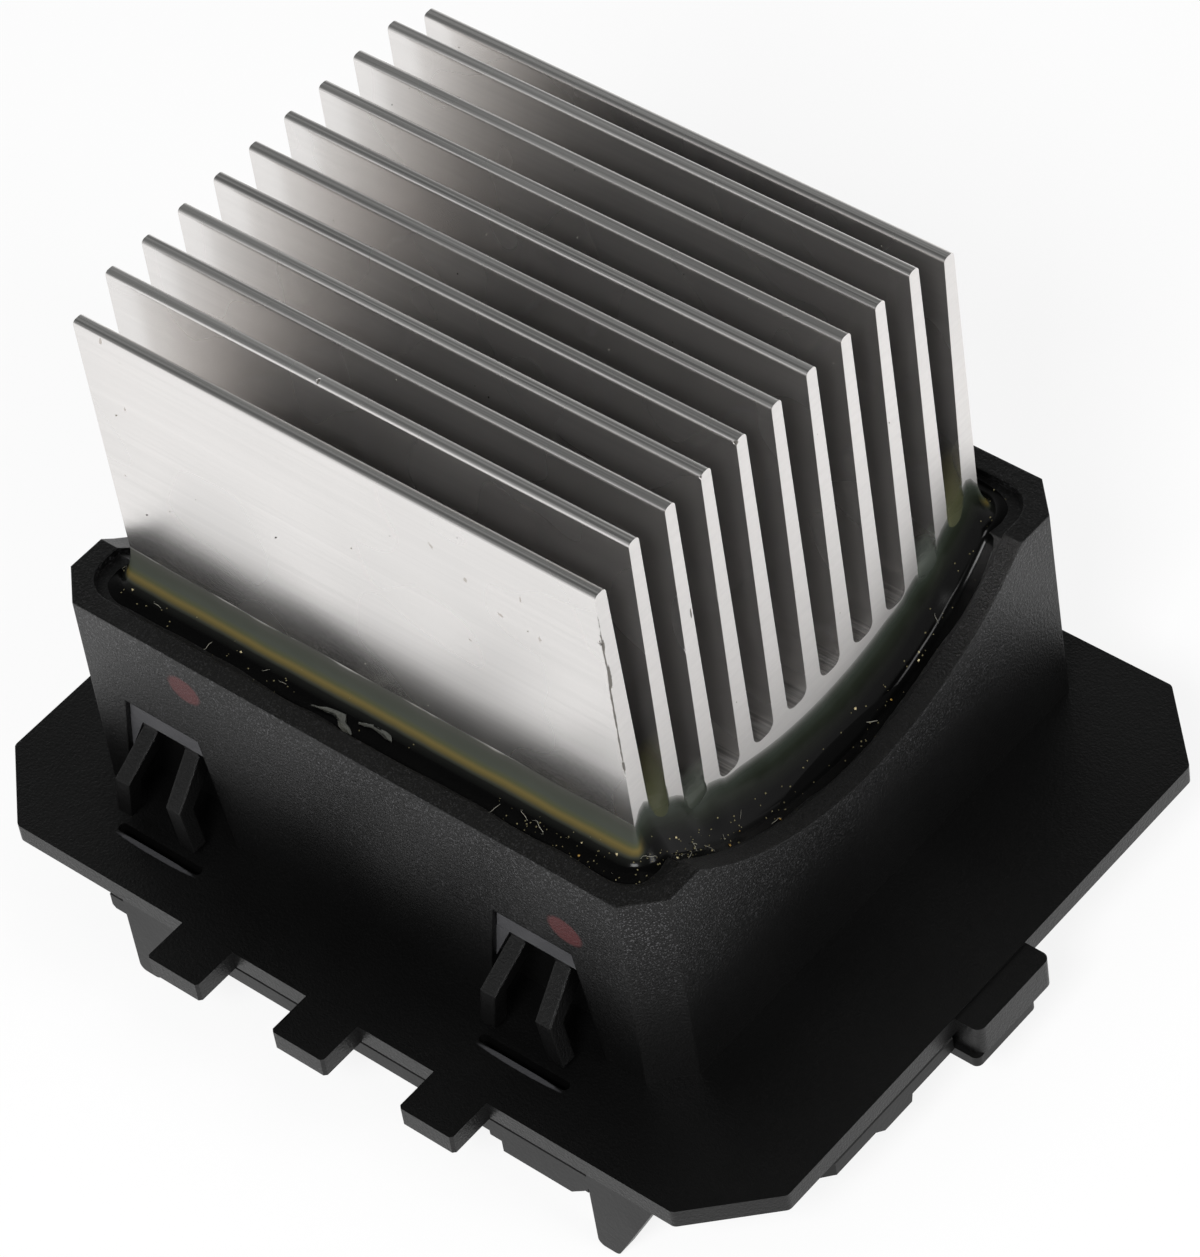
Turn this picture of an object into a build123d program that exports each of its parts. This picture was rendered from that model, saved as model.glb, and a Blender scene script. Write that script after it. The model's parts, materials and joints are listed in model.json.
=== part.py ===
from build123d import *
import math
import os

# All lengths in millimetres. Working datum: middle of the upper box in plan, top face of
# the flange at height 0, fins running along X, pitch of the fins along Y, heat sink up.
# The finished pieces are moved to the shared frame at the end of the file.

# heat sink (one extrusion along X)
fin_count = 11
fin_pitch = 5.0
fin_top_z = 61.0
outer_fin_drop = 2.2
fin_top_t = 1.36
fin_root_t = 2.1
outer_fin_out = 0.7
outer_fin_top_t = 1.45
outer_fin_root_t = 2.35
slot_floor_z = 23.4
slot_floor_r = 1.1
fin_top_r = 0.5
sink_len = 63.0
sink_base_z = 16.3

# housing box
box_past_x = 6.05
box_past_y = 6.4
rim_z = 24.9
corner_cut = 3.65
wall_draft = 0.8
rim_land = 2.2
rim_step = 0.8
pocket_gap_x = 1.9
pocket_gap_y = 2.1
pocket_r = 3.0
shelf_t = 2.5
shelf_bearing = 2.0
cavity_past_x = 3.1
cavity_past_y = 1.9
cavity_r = 3.0
arc_radius = 36.4
arc_low_z = 15.6

# sealant: rise of its bead on the outer fins and of its edge on the end faces
bead_rise = 4.6
end_rise = 5.0
end_fall = 0.5

# flange, tabs and side box
flange_t = 2.2
flange_past_x0 = 7.95
flange_past_x1 = 15.85
flange_past_y0 = 10.7
flange_past_y1 = 2.9
flange_cut = 7.6
tab_pitch = 16.2
tab_mid_x = 3.9
tab_w = 6.6
tab_out = 5.1
tab_t = 2.35
tab_cut = 0.3
side_box_out = 2.9
side_box_y0 = -10.0
side_box_y1 = 1.1
side_box_top = -0.3
side_box_bottom = -3.9
side_box_r = 0.9

# latches on the front wall
latch_mid_x = -1.25
latch_x = 23.6
latch_rib_w = 1.82
latch_root_off = 2.76
latch_splay = 0.162
latch_root_z = 10.2
latch_knee_z = 6.3
latch_tip_z = 1.2
latch_knee_out = 4.05
latch_tip_out = 4.1
latch_strip_t = 1.7
window_top_z = 13.7
window_half_top = 4.8
window_half_low = 7.1
window_recess = 0.4
window_depth = 3.1
slot_len = 11.0
slot_w = 1.05
slot_past_y = 4.95
slot_mid_x = -0.3
slot_x = 23.5

# base cover
cover_bottom_z = -4.45
cover_front_x0 = -25.9
cover_front_x1 = 40.8
cover_in_x0 = 4.5
cover_in_x1 = 4.4
cover_in_y0 = 9.8
cover_in_y1 = 4.0
cover_side_y0 = -28.5
cover_side_y1 = -10.6
cover_side_bottom = -4.15
side_lump_y0 = -22.6
side_lump_y1 = -17.0
side_lump_bottom = -5.15
spigot_gap = 0.25
spigot_t = 1.8
spigot_top = 1.0
island_top = 0.4
socket_floor = -1.6
socket_bottom = -13.0
seam_groove = 0.35
foot_tip_z = -12.7
foot_t = 2.0
foot_1_x = -24.1
foot_2_x = 35.2
foot_w = 8.0
block_x0 = 23.0
block_x1 = 35.1
block_bottom = -5.05
lip_x0 = 24.4
lip_x1 = 34.6
lip_bottom = -6.6
under_box_bottom = -5.1

# board and its screws
board_gap_x = 2.1
board_gap_y = 1.6
board_t = 1.6
board_z = 2.4
board_hole_in = 3.5
board_screw_d = 2.9
board_screw_len = 6.0
board_head_d = 5.4
board_head_h = 1.9
post_w = 6.2
screw_gap = 0.1

# heat sink screws
sink_screw_in = 4.7
sink_screw_d = 3.0
sink_screw_depth = 5.5
sink_head_d = 5.5
sink_head_h = 2.2
lug_r = 4.4

# transistors, pads, clamp
device_x = 13.0
device_y = 4.0
device_w = 15.9
device_l = 20.9
device_h = 5.0
tab_plate_w = 13.6
tab_plate_l = 17.2
tab_plate_t = 2.0
pad_w = 18.0
pad_l = 23.0
pad_t = 0.3
lead_w = 1.2
lead_t = 0.6
lead_pitch = 5.45
lead_reach = 3.4
lead_drop_top = 13.2
clamp_l = 34.0
clamp_w = 8.0
clamp_t = 1.0
clamp_screw_d = 4.0
clamp_screw_depth = 6.0
clamp_head_d = 7.0
clamp_head_h = 2.6

# terminals and sockets
blade_w = 6.3
blade_t = 0.8
blade_tip_z = -11.0
pin_w = 1.5
tail_w = 1.3
tail_top = 4.9
socket_wall = 2.0
socket_depth_y = 11.0
socket_a_x = -15.0
socket_a_w = 19.0
socket_b_x = 12.5
socket_b_w = 31.0
blade_a_off = 4.6
blade_b_off = 9.6
pin_b_off = 2.2
terminal_gap = 0.05

# small parts on the board
can_x = 0.0
can_y = -18.6
can_d = 8.0
can_h = 10.6
bung_h = 0.9
can_lead_w = 0.6
can_lead_pitch = 3.5
shunt_x = 26.0
shunt_y = -4.0
shunt_l = 12.0
shunt_w = 3.0
shunt_t = 0.9
shunt_rise = 2.4
chip_x = -16.0
chip_y = -17.5
chip_l = 8.7
chip_w = 3.9
chip_h = 1.5
diode_x = 15.0
diode_y = -18.5

# sizes that follow from those above
outer_face_y = (fin_count - 1) / 2 * fin_pitch + outer_fin_out
inner_slot_w = fin_pitch - fin_root_t
outer_slot_w = fin_pitch + outer_fin_out - outer_fin_root_t - fin_root_t / 2
floor_r = min(slot_floor_r, 0.48 * inner_slot_w, 0.48 * outer_slot_w)
box_half_x = sink_len / 2 + box_past_x
box_half_y = outer_face_y + box_past_y
cavity_half_x = sink_len / 2 + cavity_past_x
cavity_half_y = outer_face_y + cavity_past_y
flange_x0 = -box_half_x - flange_past_x0
flange_x1 = box_half_x + flange_past_x1
flange_y0 = -box_half_y - flange_past_y0
flange_y1 = box_half_y + flange_past_y1
slot_y = -box_half_y - slot_past_y
cover_inner_x0 = flange_x0 + cover_in_x0
cover_inner_x1 = flange_x1 - cover_in_x1
cover_inner_y0 = flange_y0 + cover_in_y0
cover_inner_y1 = flange_y1 - cover_in_y1
board_x = 2 * (cavity_half_x - board_gap_x)
board_y = 2 * (cavity_half_y - board_gap_y)
board_hole_x = board_x / 2 - board_hole_in
board_hole_y = board_y / 2 - board_hole_in
board_top = board_z + board_t
sink_screw_x = sink_len / 2 - sink_screw_in
sink_screw_y = outer_face_y - sink_screw_in
pocket_half_x = sink_len / 2 + pocket_gap_x
pocket_half_y = outer_face_y + pocket_gap_y
arc_centre_z = arc_low_z + arc_radius
device_top = sink_base_z - pad_t
device_bottom = device_top - device_h
clamp_bottom = device_bottom - clamp_t
lead_y = device_y - device_l / 2 - lead_reach


def mid_block(x0, x1, y0, y1, z0, z1, mode=Mode.ADD):
    """Upright block given by its six limits."""
    with Locations(((x0 + x1) / 2, (y0 + y1) / 2, (z0 + z1) / 2)):
        Box(abs(x1 - x0), abs(y1 - y0), abs(z1 - z0), mode=mode)


def rod(x, y, z0, z1, d, mode=Mode.ADD):
    """Upright cylinder between two heights."""
    with Locations((x, y, (z0 + z1) / 2)):
        Cylinder(d / 2, abs(z1 - z0), mode=mode)


# heat sink section, drawn in the plane across the fins
section = []
low_points = []
top_points = []
section.append((outer_face_y, sink_base_z))
for i in range(fin_count):
    yc = (fin_count - 1) / 2 * fin_pitch - i * fin_pitch
    right_outer = i == 0
    left_outer = i == fin_count - 1
    top = fin_top_z - (outer_fin_drop if right_outer or left_outer else 0)
    if right_outer:
        pts = [
            (outer_face_y, top),
            (outer_face_y - outer_fin_top_t, top),
            (outer_face_y - outer_fin_root_t, slot_floor_z),
        ]
        low_points.append(pts[2])
        top_points.extend(pts[:2])
    elif left_outer:
        pts = [
            (-outer_face_y + outer_fin_root_t, slot_floor_z),
            (-outer_face_y + outer_fin_top_t, top),
            (-outer_face_y, top),
        ]
        low_points.append(pts[0])
        top_points.extend(pts[1:])
    else:
        pts = [
            (yc + fin_root_t / 2, slot_floor_z),
            (yc + fin_top_t / 2, top),
            (yc - fin_top_t / 2, top),
            (yc - fin_root_t / 2, slot_floor_z),
        ]
        low_points.extend([pts[0], pts[3]])
        top_points.extend(pts[1:3])
    section.extend(pts)
section.append((-outer_face_y, sink_base_z))

with BuildPart() as heat_sink:
    with BuildSketch(Plane.YZ.offset(-sink_len / 2)) as sink_face:
        with BuildLine():
            Polyline(*section, close=True)
        make_face()
        floors = [v for v in sink_face.vertices() if abs(v.Y - slot_floor_z) < 0.01]
        fillet(floors, floor_r)
        tops = [v for v in sink_face.vertices() if v.Y > fin_top_z - outer_fin_drop - 0.01]
        fillet(tops, fin_top_r)
    extrude(amount=sink_len)
    for sx in (-1, 1):
        for sy in (-1, 1):
            rod(sx * sink_screw_x, sy * sink_screw_y, sink_base_z - 0.1,
                sink_base_z + sink_screw_depth + 0.5, sink_screw_d + screw_gap, Mode.SUBTRACT)
    rod(0, device_y, sink_base_z - 0.1, sink_base_z + clamp_screw_depth + 0.5,
        clamp_screw_d + screw_gap, Mode.SUBTRACT)

# one latch: profile across the wall, cut to two splayed strips
knee_y = -box_half_y - latch_knee_out
tip_y = -box_half_y - latch_tip_out
root_out_y = -box_half_y + window_recess
low_drop = latch_root_z - latch_tip_z
latch_spots = (latch_mid_x - latch_x, latch_mid_x + latch_x)
with BuildPart() as latch:
    with BuildSketch(Plane.YZ.offset(-slot_len / 2)):
        with BuildLine():
            Polyline(
                (root_out_y, latch_root_z),
                (knee_y, latch_knee_z),
                (tip_y, latch_tip_z),
                (tip_y + latch_strip_t, latch_tip_z),
                (knee_y + latch_strip_t, latch_knee_z - 0.6),
                (root_out_y + 1.9, latch_root_z - 1.1),
                (root_out_y + 1.9, latch_root_z + 0.6),
                (root_out_y, latch_root_z + 0.6),
                close=True,
            )
        make_face()
    extrude(amount=slot_len)
    with BuildSketch(Plane.XZ.offset(box_half_y + 6)):
        for s in (-1, 1):
            top_mid = s * (latch_root_off - latch_splay * 0.6)
            low_mid = s * (latch_root_off + latch_splay * low_drop)
            half = latch_rib_w / 2
            with BuildLine():
                Polyline(
                    (top_mid - half, latch_root_z + 0.6),
                    (top_mid + half, latch_root_z + 0.6),
                    (low_mid + half, latch_tip_z),
                    (low_mid - half, latch_tip_z),
                    close=True,
                )
            make_face()
    extrude(amount=-10, mode=Mode.INTERSECT)

# housing
octagon = [
    (flange_x0 + flange_cut, flange_y0),
    (flange_x1 - flange_cut, flange_y0),
    (flange_x1, flange_y0 + flange_cut),
    (flange_x1, flange_y1 - flange_cut),
    (flange_x1 - flange_cut, flange_y1),
    (flange_x0 + flange_cut, flange_y1),
    (flange_x0, flange_y1 - flange_cut),
    (flange_x0, flange_y0 + flange_cut),
]
foot_spread = rim_z * math.tan(math.radians(wall_draft))
with BuildPart() as housing:
    with BuildSketch(Plane.XY) as box_foot:
        Rectangle(2 * (box_half_x + foot_spread), 2 * (box_half_y + foot_spread))
        chamfer(box_foot.vertices(), corner_cut)
    extrude(amount=rim_z, taper=wall_draft)
    with BuildSketch(Plane.XY.offset(-flange_t)) as flange_plan:
        with BuildLine():
            Polyline(*octagon, close=True)
        make_face()
        fillet(flange_plan.vertices(), 0.8)
    extrude(amount=flange_t)
    for k in (-1, 0, 1):
        with BuildSketch(Plane.XY.offset(-tab_t)) as tab_plan:
            with Locations((tab_mid_x + k * tab_pitch, flange_y0 - tab_out / 2)):
                Rectangle(tab_w, tab_out)
            chamfer(tab_plan.vertices().group_by(Axis.Y)[0], tab_cut)
        extrude(amount=tab_t)
    with BuildSketch(Plane.XY.offset(side_box_bottom)) as side_plan:
        with Locations((flange_x1 + side_box_out / 2 - 1.0, (side_box_y0 + side_box_y1) / 2)):
            Rectangle(side_box_out + 2.0, side_box_y1 - side_box_y0)
        fillet(side_plan.vertices().group_by(Axis.X)[-1], side_box_r)
    extrude(amount=side_box_top - side_box_bottom)
    # rim land, heat sink pocket, opening in the shelf, lower cavity
    with BuildSketch(Plane.XY.offset(rim_z - rim_step)) as land:
        Rectangle(2 * (box_half_x - rim_land), 2 * (box_half_y - rim_land))
        fillet(land.vertices(), corner_cut)
    extrude(amount=rim_step + 1, mode=Mode.SUBTRACT)
    with BuildSketch(Plane.XY.offset(sink_base_z)) as pocket:
        Rectangle(2 * pocket_half_x, 2 * pocket_half_y)
        fillet(pocket.vertices(), pocket_r)
    extrude(amount=rim_z, mode=Mode.SUBTRACT)
    with BuildSketch(Plane.XY.offset(sink_base_z - shelf_t - 0.5)) as opening:
        Rectangle(sink_len - 2 * shelf_bearing, 2 * (outer_face_y - shelf_bearing))
        with Locations(*[(sx * sink_screw_x, sy * sink_screw_y) for sx in (-1, 1) for sy in (-1, 1)]):
            Rectangle(2 * lug_r, 2 * lug_r, mode=Mode.SUBTRACT)
    extrude(amount=shelf_t + 1, mode=Mode.SUBTRACT)
    with BuildSketch(Plane.XY.offset(-flange_t - 0.5)) as cavity:
        Rectangle(2 * cavity_half_x, 2 * cavity_half_y)
        fillet(cavity.vertices(), cavity_r)
    extrude(amount=sink_base_z - shelf_t + flange_t + 0.5, mode=Mode.SUBTRACT)
    for sx in (-1, 1):
        for sy in (-1, 1):
            rod(sx * sink_screw_x, sy * sink_screw_y, sink_base_z - shelf_t - 1, sink_base_z + 1,
                sink_screw_d + 2 * screw_gap, Mode.SUBTRACT)
    # concave dips in both end walls, the inner part one step lower
    for s in (-1, 1):
        with BuildSketch(Plane.YZ.offset(s * (pocket_half_x + 0.1))):
            with Locations((0, arc_centre_z)):
                Circle(arc_radius)
        extrude(amount=s * 8, mode=Mode.SUBTRACT)
        with BuildSketch(Plane.YZ.offset(s * (pocket_half_x - 0.1))):
            with Locations((0, arc_centre_z - rim_step)):
                Circle(arc_radius)
        extrude(amount=s * (box_half_x - rim_land - pocket_half_x + 0.1), mode=Mode.SUBTRACT)
    # latch windows: shallow recess with a deep pocket below it
    for latch_at in latch_spots:
        for depth, top_z in ((window_recess, window_top_z), (window_depth, latch_root_z + 0.5)):
            share = (window_top_z - top_z) / window_top_z
            half_top = window_half_top + (window_half_low - window_half_top) * share
            with BuildSketch(Plane.XZ.offset(box_half_y - depth)):
                with BuildLine():
                    Polyline(
                        (latch_at - half_top, top_z),
                        (latch_at + half_top, top_z),
                        (latch_at + window_half_low, 0),
                        (latch_at - window_half_low, 0),
                        close=True,
                    )
                make_face()
            extrude(amount=depth + 2, mode=Mode.SUBTRACT)
    for latch_at in latch_spots:
        add(latch.part.moved(Location((latch_at, 0, 0))))
    # slots through the flange in front of the latches
    with BuildSketch(Plane.XY.offset(-flange_t - 0.5)):
        with Locations((slot_mid_x - slot_x, slot_y), (slot_mid_x + slot_x, slot_y)):
            SlotOverall(slot_len, slot_w)
    extrude(amount=flange_t + 1, mode=Mode.SUBTRACT)


# base cover: plate flush with the flange edge at the front and on the right
cover_plan = [
    (cover_front_x0, flange_y0),
    (cover_front_x1, flange_y0),
    (flange_x1, cover_side_y0),
    (flange_x1, cover_side_y1),
    (cover_inner_x1, cover_side_y1),
    (cover_inner_x1, cover_inner_y1),
    (cover_inner_x0, cover_inner_y1),
    (cover_inner_x0, cover_inner_y0),
    (cover_front_x0, cover_inner_y0),
]
with BuildPart() as base_cover:
    with BuildSketch(Plane.XY.offset(cover_bottom_z)):
        with BuildLine():
            Polyline(*cover_plan, close=True)
        make_face()
    extrude(amount=-flange_t - cover_bottom_z)
    corner = [
        e for e in base_cover.edges().filter_by(Axis.Y)
        if abs(e.center().X - cover_front_x0) < 0.1 and e.center().Z < cover_bottom_z + 0.1
    ]
    chamfer(corner, 0.4)
    seam = [
        e for e in base_cover.edges().filter_by(GeomType.LINE)
        if e.center().Z > -flange_t - 0.01
        and (abs(e.center().Y - flange_y0) < 0.01 or e.center().X > cover_front_x1)
        and e.center().Y < cover_side_y1 - 1
    ]
    chamfer(seam, seam_groove)
    # the side strip is thinner than the plate
    mid_block(cover_inner_x1, flange_x1 + 1, cover_side_y0 - 13, cover_side_y1 + 1,
              cover_bottom_z - 1, cover_side_bottom, Mode.SUBTRACT)
    with BuildSketch(Plane.YZ.offset(cover_inner_x1 - 2)):
        with BuildLine():
            Polyline(
                (side_lump_y0, cover_side_bottom),
                (side_lump_y0 + 1.3, side_lump_bottom),
                (side_lump_y1 - 0.2, side_lump_bottom),
                (side_lump_y1, cover_side_bottom),
                close=True,
            )
        make_face()
    extrude(amount=flange_x1 - cover_inner_x1 + 2)
    with BuildSketch(Plane.XY.offset(under_box_bottom)) as under_plan:
        with Locations(((cover_inner_x1 - 2 + flange_x1 + side_box_out - 0.1) / 2,
                        (side_box_y0 - 0.6 + side_box_y1 - 2.55) / 2)):
            Rectangle(flange_x1 + side_box_out - 0.1 - cover_inner_x1 + 2,
                      side_box_y1 - side_box_y0 - 1.95)
        fillet(under_plan.vertices().group_by(Axis.X)[-1], 0.7)
    extrude(amount=side_box_bottom - under_box_bottom)
    # lower block and lip on the front edge
    mid_block(block_x0, block_x1, flange_y0, flange_y0 + 6, block_bottom, cover_bottom_z + 0.5)
    with BuildSketch(Plane.XZ.offset(-flange_y0)):
        with BuildLine():
            Polyline(
                (lip_x0, block_bottom + 0.2),
                (lip_x0, lip_bottom),
                (lip_x1 - 1.8, lip_bottom),
                (lip_x1, block_bottom - 0.1),
                (lip_x1, block_bottom + 0.2),
                close=True,
            )
        make_face()
    extrude(amount=-5)
    # two pointed feet
    for fx in (foot_1_x, foot_2_x):
        with BuildSketch(Plane.XZ.offset(-flange_y0)) as foot_plan:
            with BuildLine():
                Polyline(
                    (fx, -flange_t),
                    (fx + foot_w, -flange_t),
                    (fx + 2.5, foot_tip_z),
                    (fx, foot_tip_z),
                    close=True,
                )
            make_face()
            fillet(foot_plan.vertices().group_by(Axis.Y)[0], 0.8)
        extrude(amount=-foot_t)
    # locating wall inside the housing
    with BuildSketch(Plane.XY.offset(cover_bottom_z + 0.5)) as spigot:
        Rectangle(2 * (cavity_half_x - spigot_gap), 2 * (cavity_half_y - spigot_gap))
        fillet(spigot.vertices(), cavity_r)
        Rectangle(2 * (cavity_half_x - spigot_gap - spigot_t),
                  2 * (cavity_half_y - spigot_gap - spigot_t), mode=Mode.SUBTRACT)
    extrude(amount=spigot_top - cover_bottom_z - 0.5)
    # raised roof over each socket, shroud below it
    for sx, sw in ((socket_a_x, socket_a_w), (socket_b_x, socket_b_w)):
        half_w = sw / 2 + socket_wall
        half_d = socket_depth_y / 2 + socket_wall
        mid_block(sx - half_w, sx + half_w, -half_d, half_d, cover_bottom_z, island_top)
        with BuildSketch(Plane.XY.offset(socket_bottom)) as shroud:
            with Locations((sx, 0)):
                Rectangle(2 * half_w, 2 * half_d)
            fillet(shroud.vertices(), 1.2)
        extrude(amount=cover_bottom_z - socket_bottom)
    for sx, sw in ((socket_a_x, socket_a_w), (socket_b_x, socket_b_w)):
        mid_block(sx - sw / 2, sx + sw / 2, -socket_depth_y / 2, socket_depth_y / 2,
                  socket_bottom - 1, socket_floor, Mode.SUBTRACT)
        # keying groove and catch on the outside
        mid_block(sx - 1.0, sx + 1.0, socket_depth_y / 2 - 0.1, socket_depth_y / 2 + 1.0,
                  socket_bottom - 1, socket_floor, Mode.SUBTRACT)
        mid_block(sx - 2.5, sx + 2.5, -socket_depth_y / 2 - socket_wall - 1.2,
                  -socket_depth_y / 2 - socket_wall + 0.1, socket_bottom + 2.4, socket_bottom + 4.2)
    for bx in (socket_a_x - blade_a_off, socket_a_x + blade_a_off,
               socket_b_x - blade_b_off, socket_b_x + blade_b_off):
        mid_block(bx - blade_w / 2 - terminal_gap, bx + blade_w / 2 + terminal_gap,
                  -blade_t / 2 - terminal_gap, blade_t / 2 + terminal_gap,
                  socket_floor - 1, island_top + 1, Mode.SUBTRACT)
    for bx in (socket_b_x - pin_b_off, socket_b_x + pin_b_off):
        mid_block(bx - pin_w / 2 - terminal_gap, bx + pin_w / 2 + terminal_gap,
                  -blade_t / 2 - terminal_gap, blade_t / 2 + terminal_gap,
                  socket_floor - 1, island_top + 1, Mode.SUBTRACT)
    # posts for the board
    for sx in (-1, 1):
        for sy in (-1, 1):
            with BuildSketch(Plane.XY.offset(-flange_t - 0.5)) as post:
                with Locations((sx * board_hole_x, sy * board_hole_y)):
                    Rectangle(post_w, post_w)
                chamfer(post.vertices(), 1.2)
            extrude(amount=flange_t + 0.5 + board_z)
            rod(sx * board_hole_x, sy * board_hole_y, board_z + board_t - board_screw_len - 0.5,
                board_z + 1, board_screw_d + screw_gap, Mode.SUBTRACT)

# sealant round the heat sink
with BuildPart() as sealant:
    with BuildSketch(Plane.XY.offset(sink_base_z)) as bead_foot:
        Rectangle(2 * pocket_half_x, 2 * pocket_half_y)
        fillet(bead_foot.vertices(), pocket_r)
    extrude(amount=rim_z - rim_step - sink_base_z)
    with BuildSketch(Plane.XY.offset(rim_z - rim_step)) as bead_top:
        Rectangle(2 * pocket_half_x, 2 * pocket_half_y)
        fillet(bead_top.vertices(), pocket_r)
    extrude(amount=bead_rise + 0.3, taper=math.degrees(math.atan(pocket_gap_y / bead_rise)))
    mid_block(-sink_len / 2, sink_len / 2, -outer_face_y, outer_face_y,
              sink_base_z - 1, fin_top_z, Mode.SUBTRACT)
    for s in (-1, 1):
        with BuildSketch(Plane.YZ.offset(s * sink_len / 2)):
            with Locations((0, arc_centre_z + end_rise)):
                Circle(arc_radius)
        extrude(amount=8, dir=(s * pocket_gap_x, 0, end_fall - end_rise), mode=Mode.SUBTRACT)

# circuit board
with BuildPart() as board:
    with BuildSketch(Plane.XY.offset(board_z)) as board_plan:
        Rectangle(board_x, board_y)
        fillet(board_plan.vertices(), 2.0)
        with Locations(*[(sx * board_hole_x, sy * board_hole_y) for sx in (-1, 1) for sy in (-1, 1)]):
            Circle((board_screw_d + 2 * screw_gap) / 2, mode=Mode.SUBTRACT)
        for bx in (socket_a_x - blade_a_off, socket_a_x + blade_a_off,
                   socket_b_x - blade_b_off, socket_b_x + blade_b_off):
            with Locations((bx - 2, 0), (bx + 2, 0)):
                Rectangle(tail_w + 0.1, blade_t + 0.1, mode=Mode.SUBTRACT)
        with Locations((socket_b_x - pin_b_off, 0), (socket_b_x + pin_b_off, 0)):
            Rectangle(1.0 + 0.1, blade_t + 0.1, mode=Mode.SUBTRACT)
        for dx in (-device_x, device_x):
            with Locations(*[(dx + k * lead_pitch, lead_y) for k in (-1, 0, 1)]):
                Rectangle(lead_w + 0.1, lead_t + 0.1, mode=Mode.SUBTRACT)
        with Locations((can_x - can_lead_pitch / 2, can_y), (can_x + can_lead_pitch / 2, can_y)):
            Rectangle(can_lead_w + 0.1, can_lead_w + 0.1, mode=Mode.SUBTRACT)
        with Locations((shunt_x, shunt_y - shunt_l / 2 + 0.45), (shunt_x, shunt_y + shunt_l / 2 - 0.45)):
            Rectangle(1.6, 1.0, mode=Mode.SUBTRACT)
    extrude(amount=board_t)

# board screws and heat sink screws: four of each
screw_parts = {}
corner_list = [(-1, -1), (1, -1), (1, 1), (-1, 1)]
for n, (sx, sy) in enumerate(corner_list, 1):
    with BuildPart() as board_screw:
        bx = sx * board_hole_x
        by = sy * board_hole_y
        rod(bx, by, board_top - board_screw_len, board_top, board_screw_d)
        rod(bx, by, board_top, board_top + board_head_h, board_head_d)
        mid_block(bx - 1.6, bx + 1.6, by - 0.35, by + 0.35, board_top + 1.0, board_top + 3, Mode.SUBTRACT)
        mid_block(bx - 0.35, bx + 0.35, by - 1.6, by + 1.6, board_top + 1.0, board_top + 3, Mode.SUBTRACT)
    screw_parts["board_screw_%d" % n] = board_screw.part
    with BuildPart() as sink_screw:
        bx = sx * sink_screw_x
        by = sy * sink_screw_y
        head_z = sink_base_z - shelf_t
        rod(bx, by, head_z, sink_base_z + sink_screw_depth, sink_screw_d)
        rod(bx, by, head_z - sink_head_h, head_z, sink_head_d)
        with BuildSketch(Plane.XY.offset(head_z - sink_head_h)):
            with Locations((bx, by)):
                RegularPolygon(1.4, 6)
        extrude(amount=1.3, mode=Mode.SUBTRACT)
    screw_parts["sink_screw_%d" % n] = sink_screw.part

# power transistors with pads
device_parts = {}
for n, dx in enumerate((-device_x, device_x), 1):
    plate_y = device_y + device_l / 2 - tab_plate_l / 2 - 1.0
    front_y = device_y - device_l / 2
    with BuildPart() as frame_metal:
        mid_block(dx - tab_plate_w / 2, dx + tab_plate_w / 2, plate_y - tab_plate_l / 2,
                  plate_y + tab_plate_l / 2, device_top - tab_plate_t, device_top)
        mid_block(dx - lead_w / 2, dx + lead_w / 2, front_y, plate_y, lead_drop_top - lead_t,
                  device_top - tab_plate_t)
        for k in (-1, 0, 1):
            lx = dx + k * lead_pitch
            mid_block(lx - lead_w / 2, lx + lead_w / 2, lead_y - lead_t / 2, front_y + 1.5,
                      lead_drop_top - lead_t, lead_drop_top)
            mid_block(lx - lead_w / 2, lx + lead_w / 2, lead_y - lead_t / 2, lead_y + lead_t / 2,
                      board_z - 0.8, lead_drop_top)
    with BuildPart() as body:
        mid_block(dx - device_w / 2, dx + device_w / 2, front_y, front_y + device_l,
                  device_bottom, device_top)
        chamfer(body.edges().filter_by(Axis.X).group_by(Axis.Z)[0], 0.5)
        add(frame_metal.part, mode=Mode.SUBTRACT)
    with BuildPart() as pad:
        mid_block(dx - pad_w / 2, dx + pad_w / 2, device_y - pad_l / 2, device_y + pad_l / 2,
                  device_top, sink_base_z)
    device_parts["transistor_%d_frame" % n] = frame_metal.part
    device_parts["transistor_%d_body" % n] = body.part
    device_parts["thermal_pad_%d" % n] = pad.part

with BuildPart() as clamp_bar:
    mid_block(-clamp_l / 2, clamp_l / 2, device_y - clamp_w / 2, device_y + clamp_w / 2,
              clamp_bottom, device_bottom)
    chamfer(clamp_bar.edges().filter_by(Axis.Z), 1.2)
    rod(0, device_y, clamp_bottom - 1, device_bottom + 1, clamp_screw_d + 2 * screw_gap, Mode.SUBTRACT)

with BuildPart() as clamp_screw:
    rod(0, device_y, clamp_bottom, sink_base_z + clamp_screw_depth, clamp_screw_d)
    rod(0, device_y, clamp_bottom - clamp_head_h, clamp_bottom, clamp_head_d)
    with BuildSketch(Plane.XY.offset(clamp_bottom - clamp_head_h)):
        with Locations((0, device_y)):
            RegularPolygon(1.8, 6)
    extrude(amount=1.6, mode=Mode.SUBTRACT)

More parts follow.
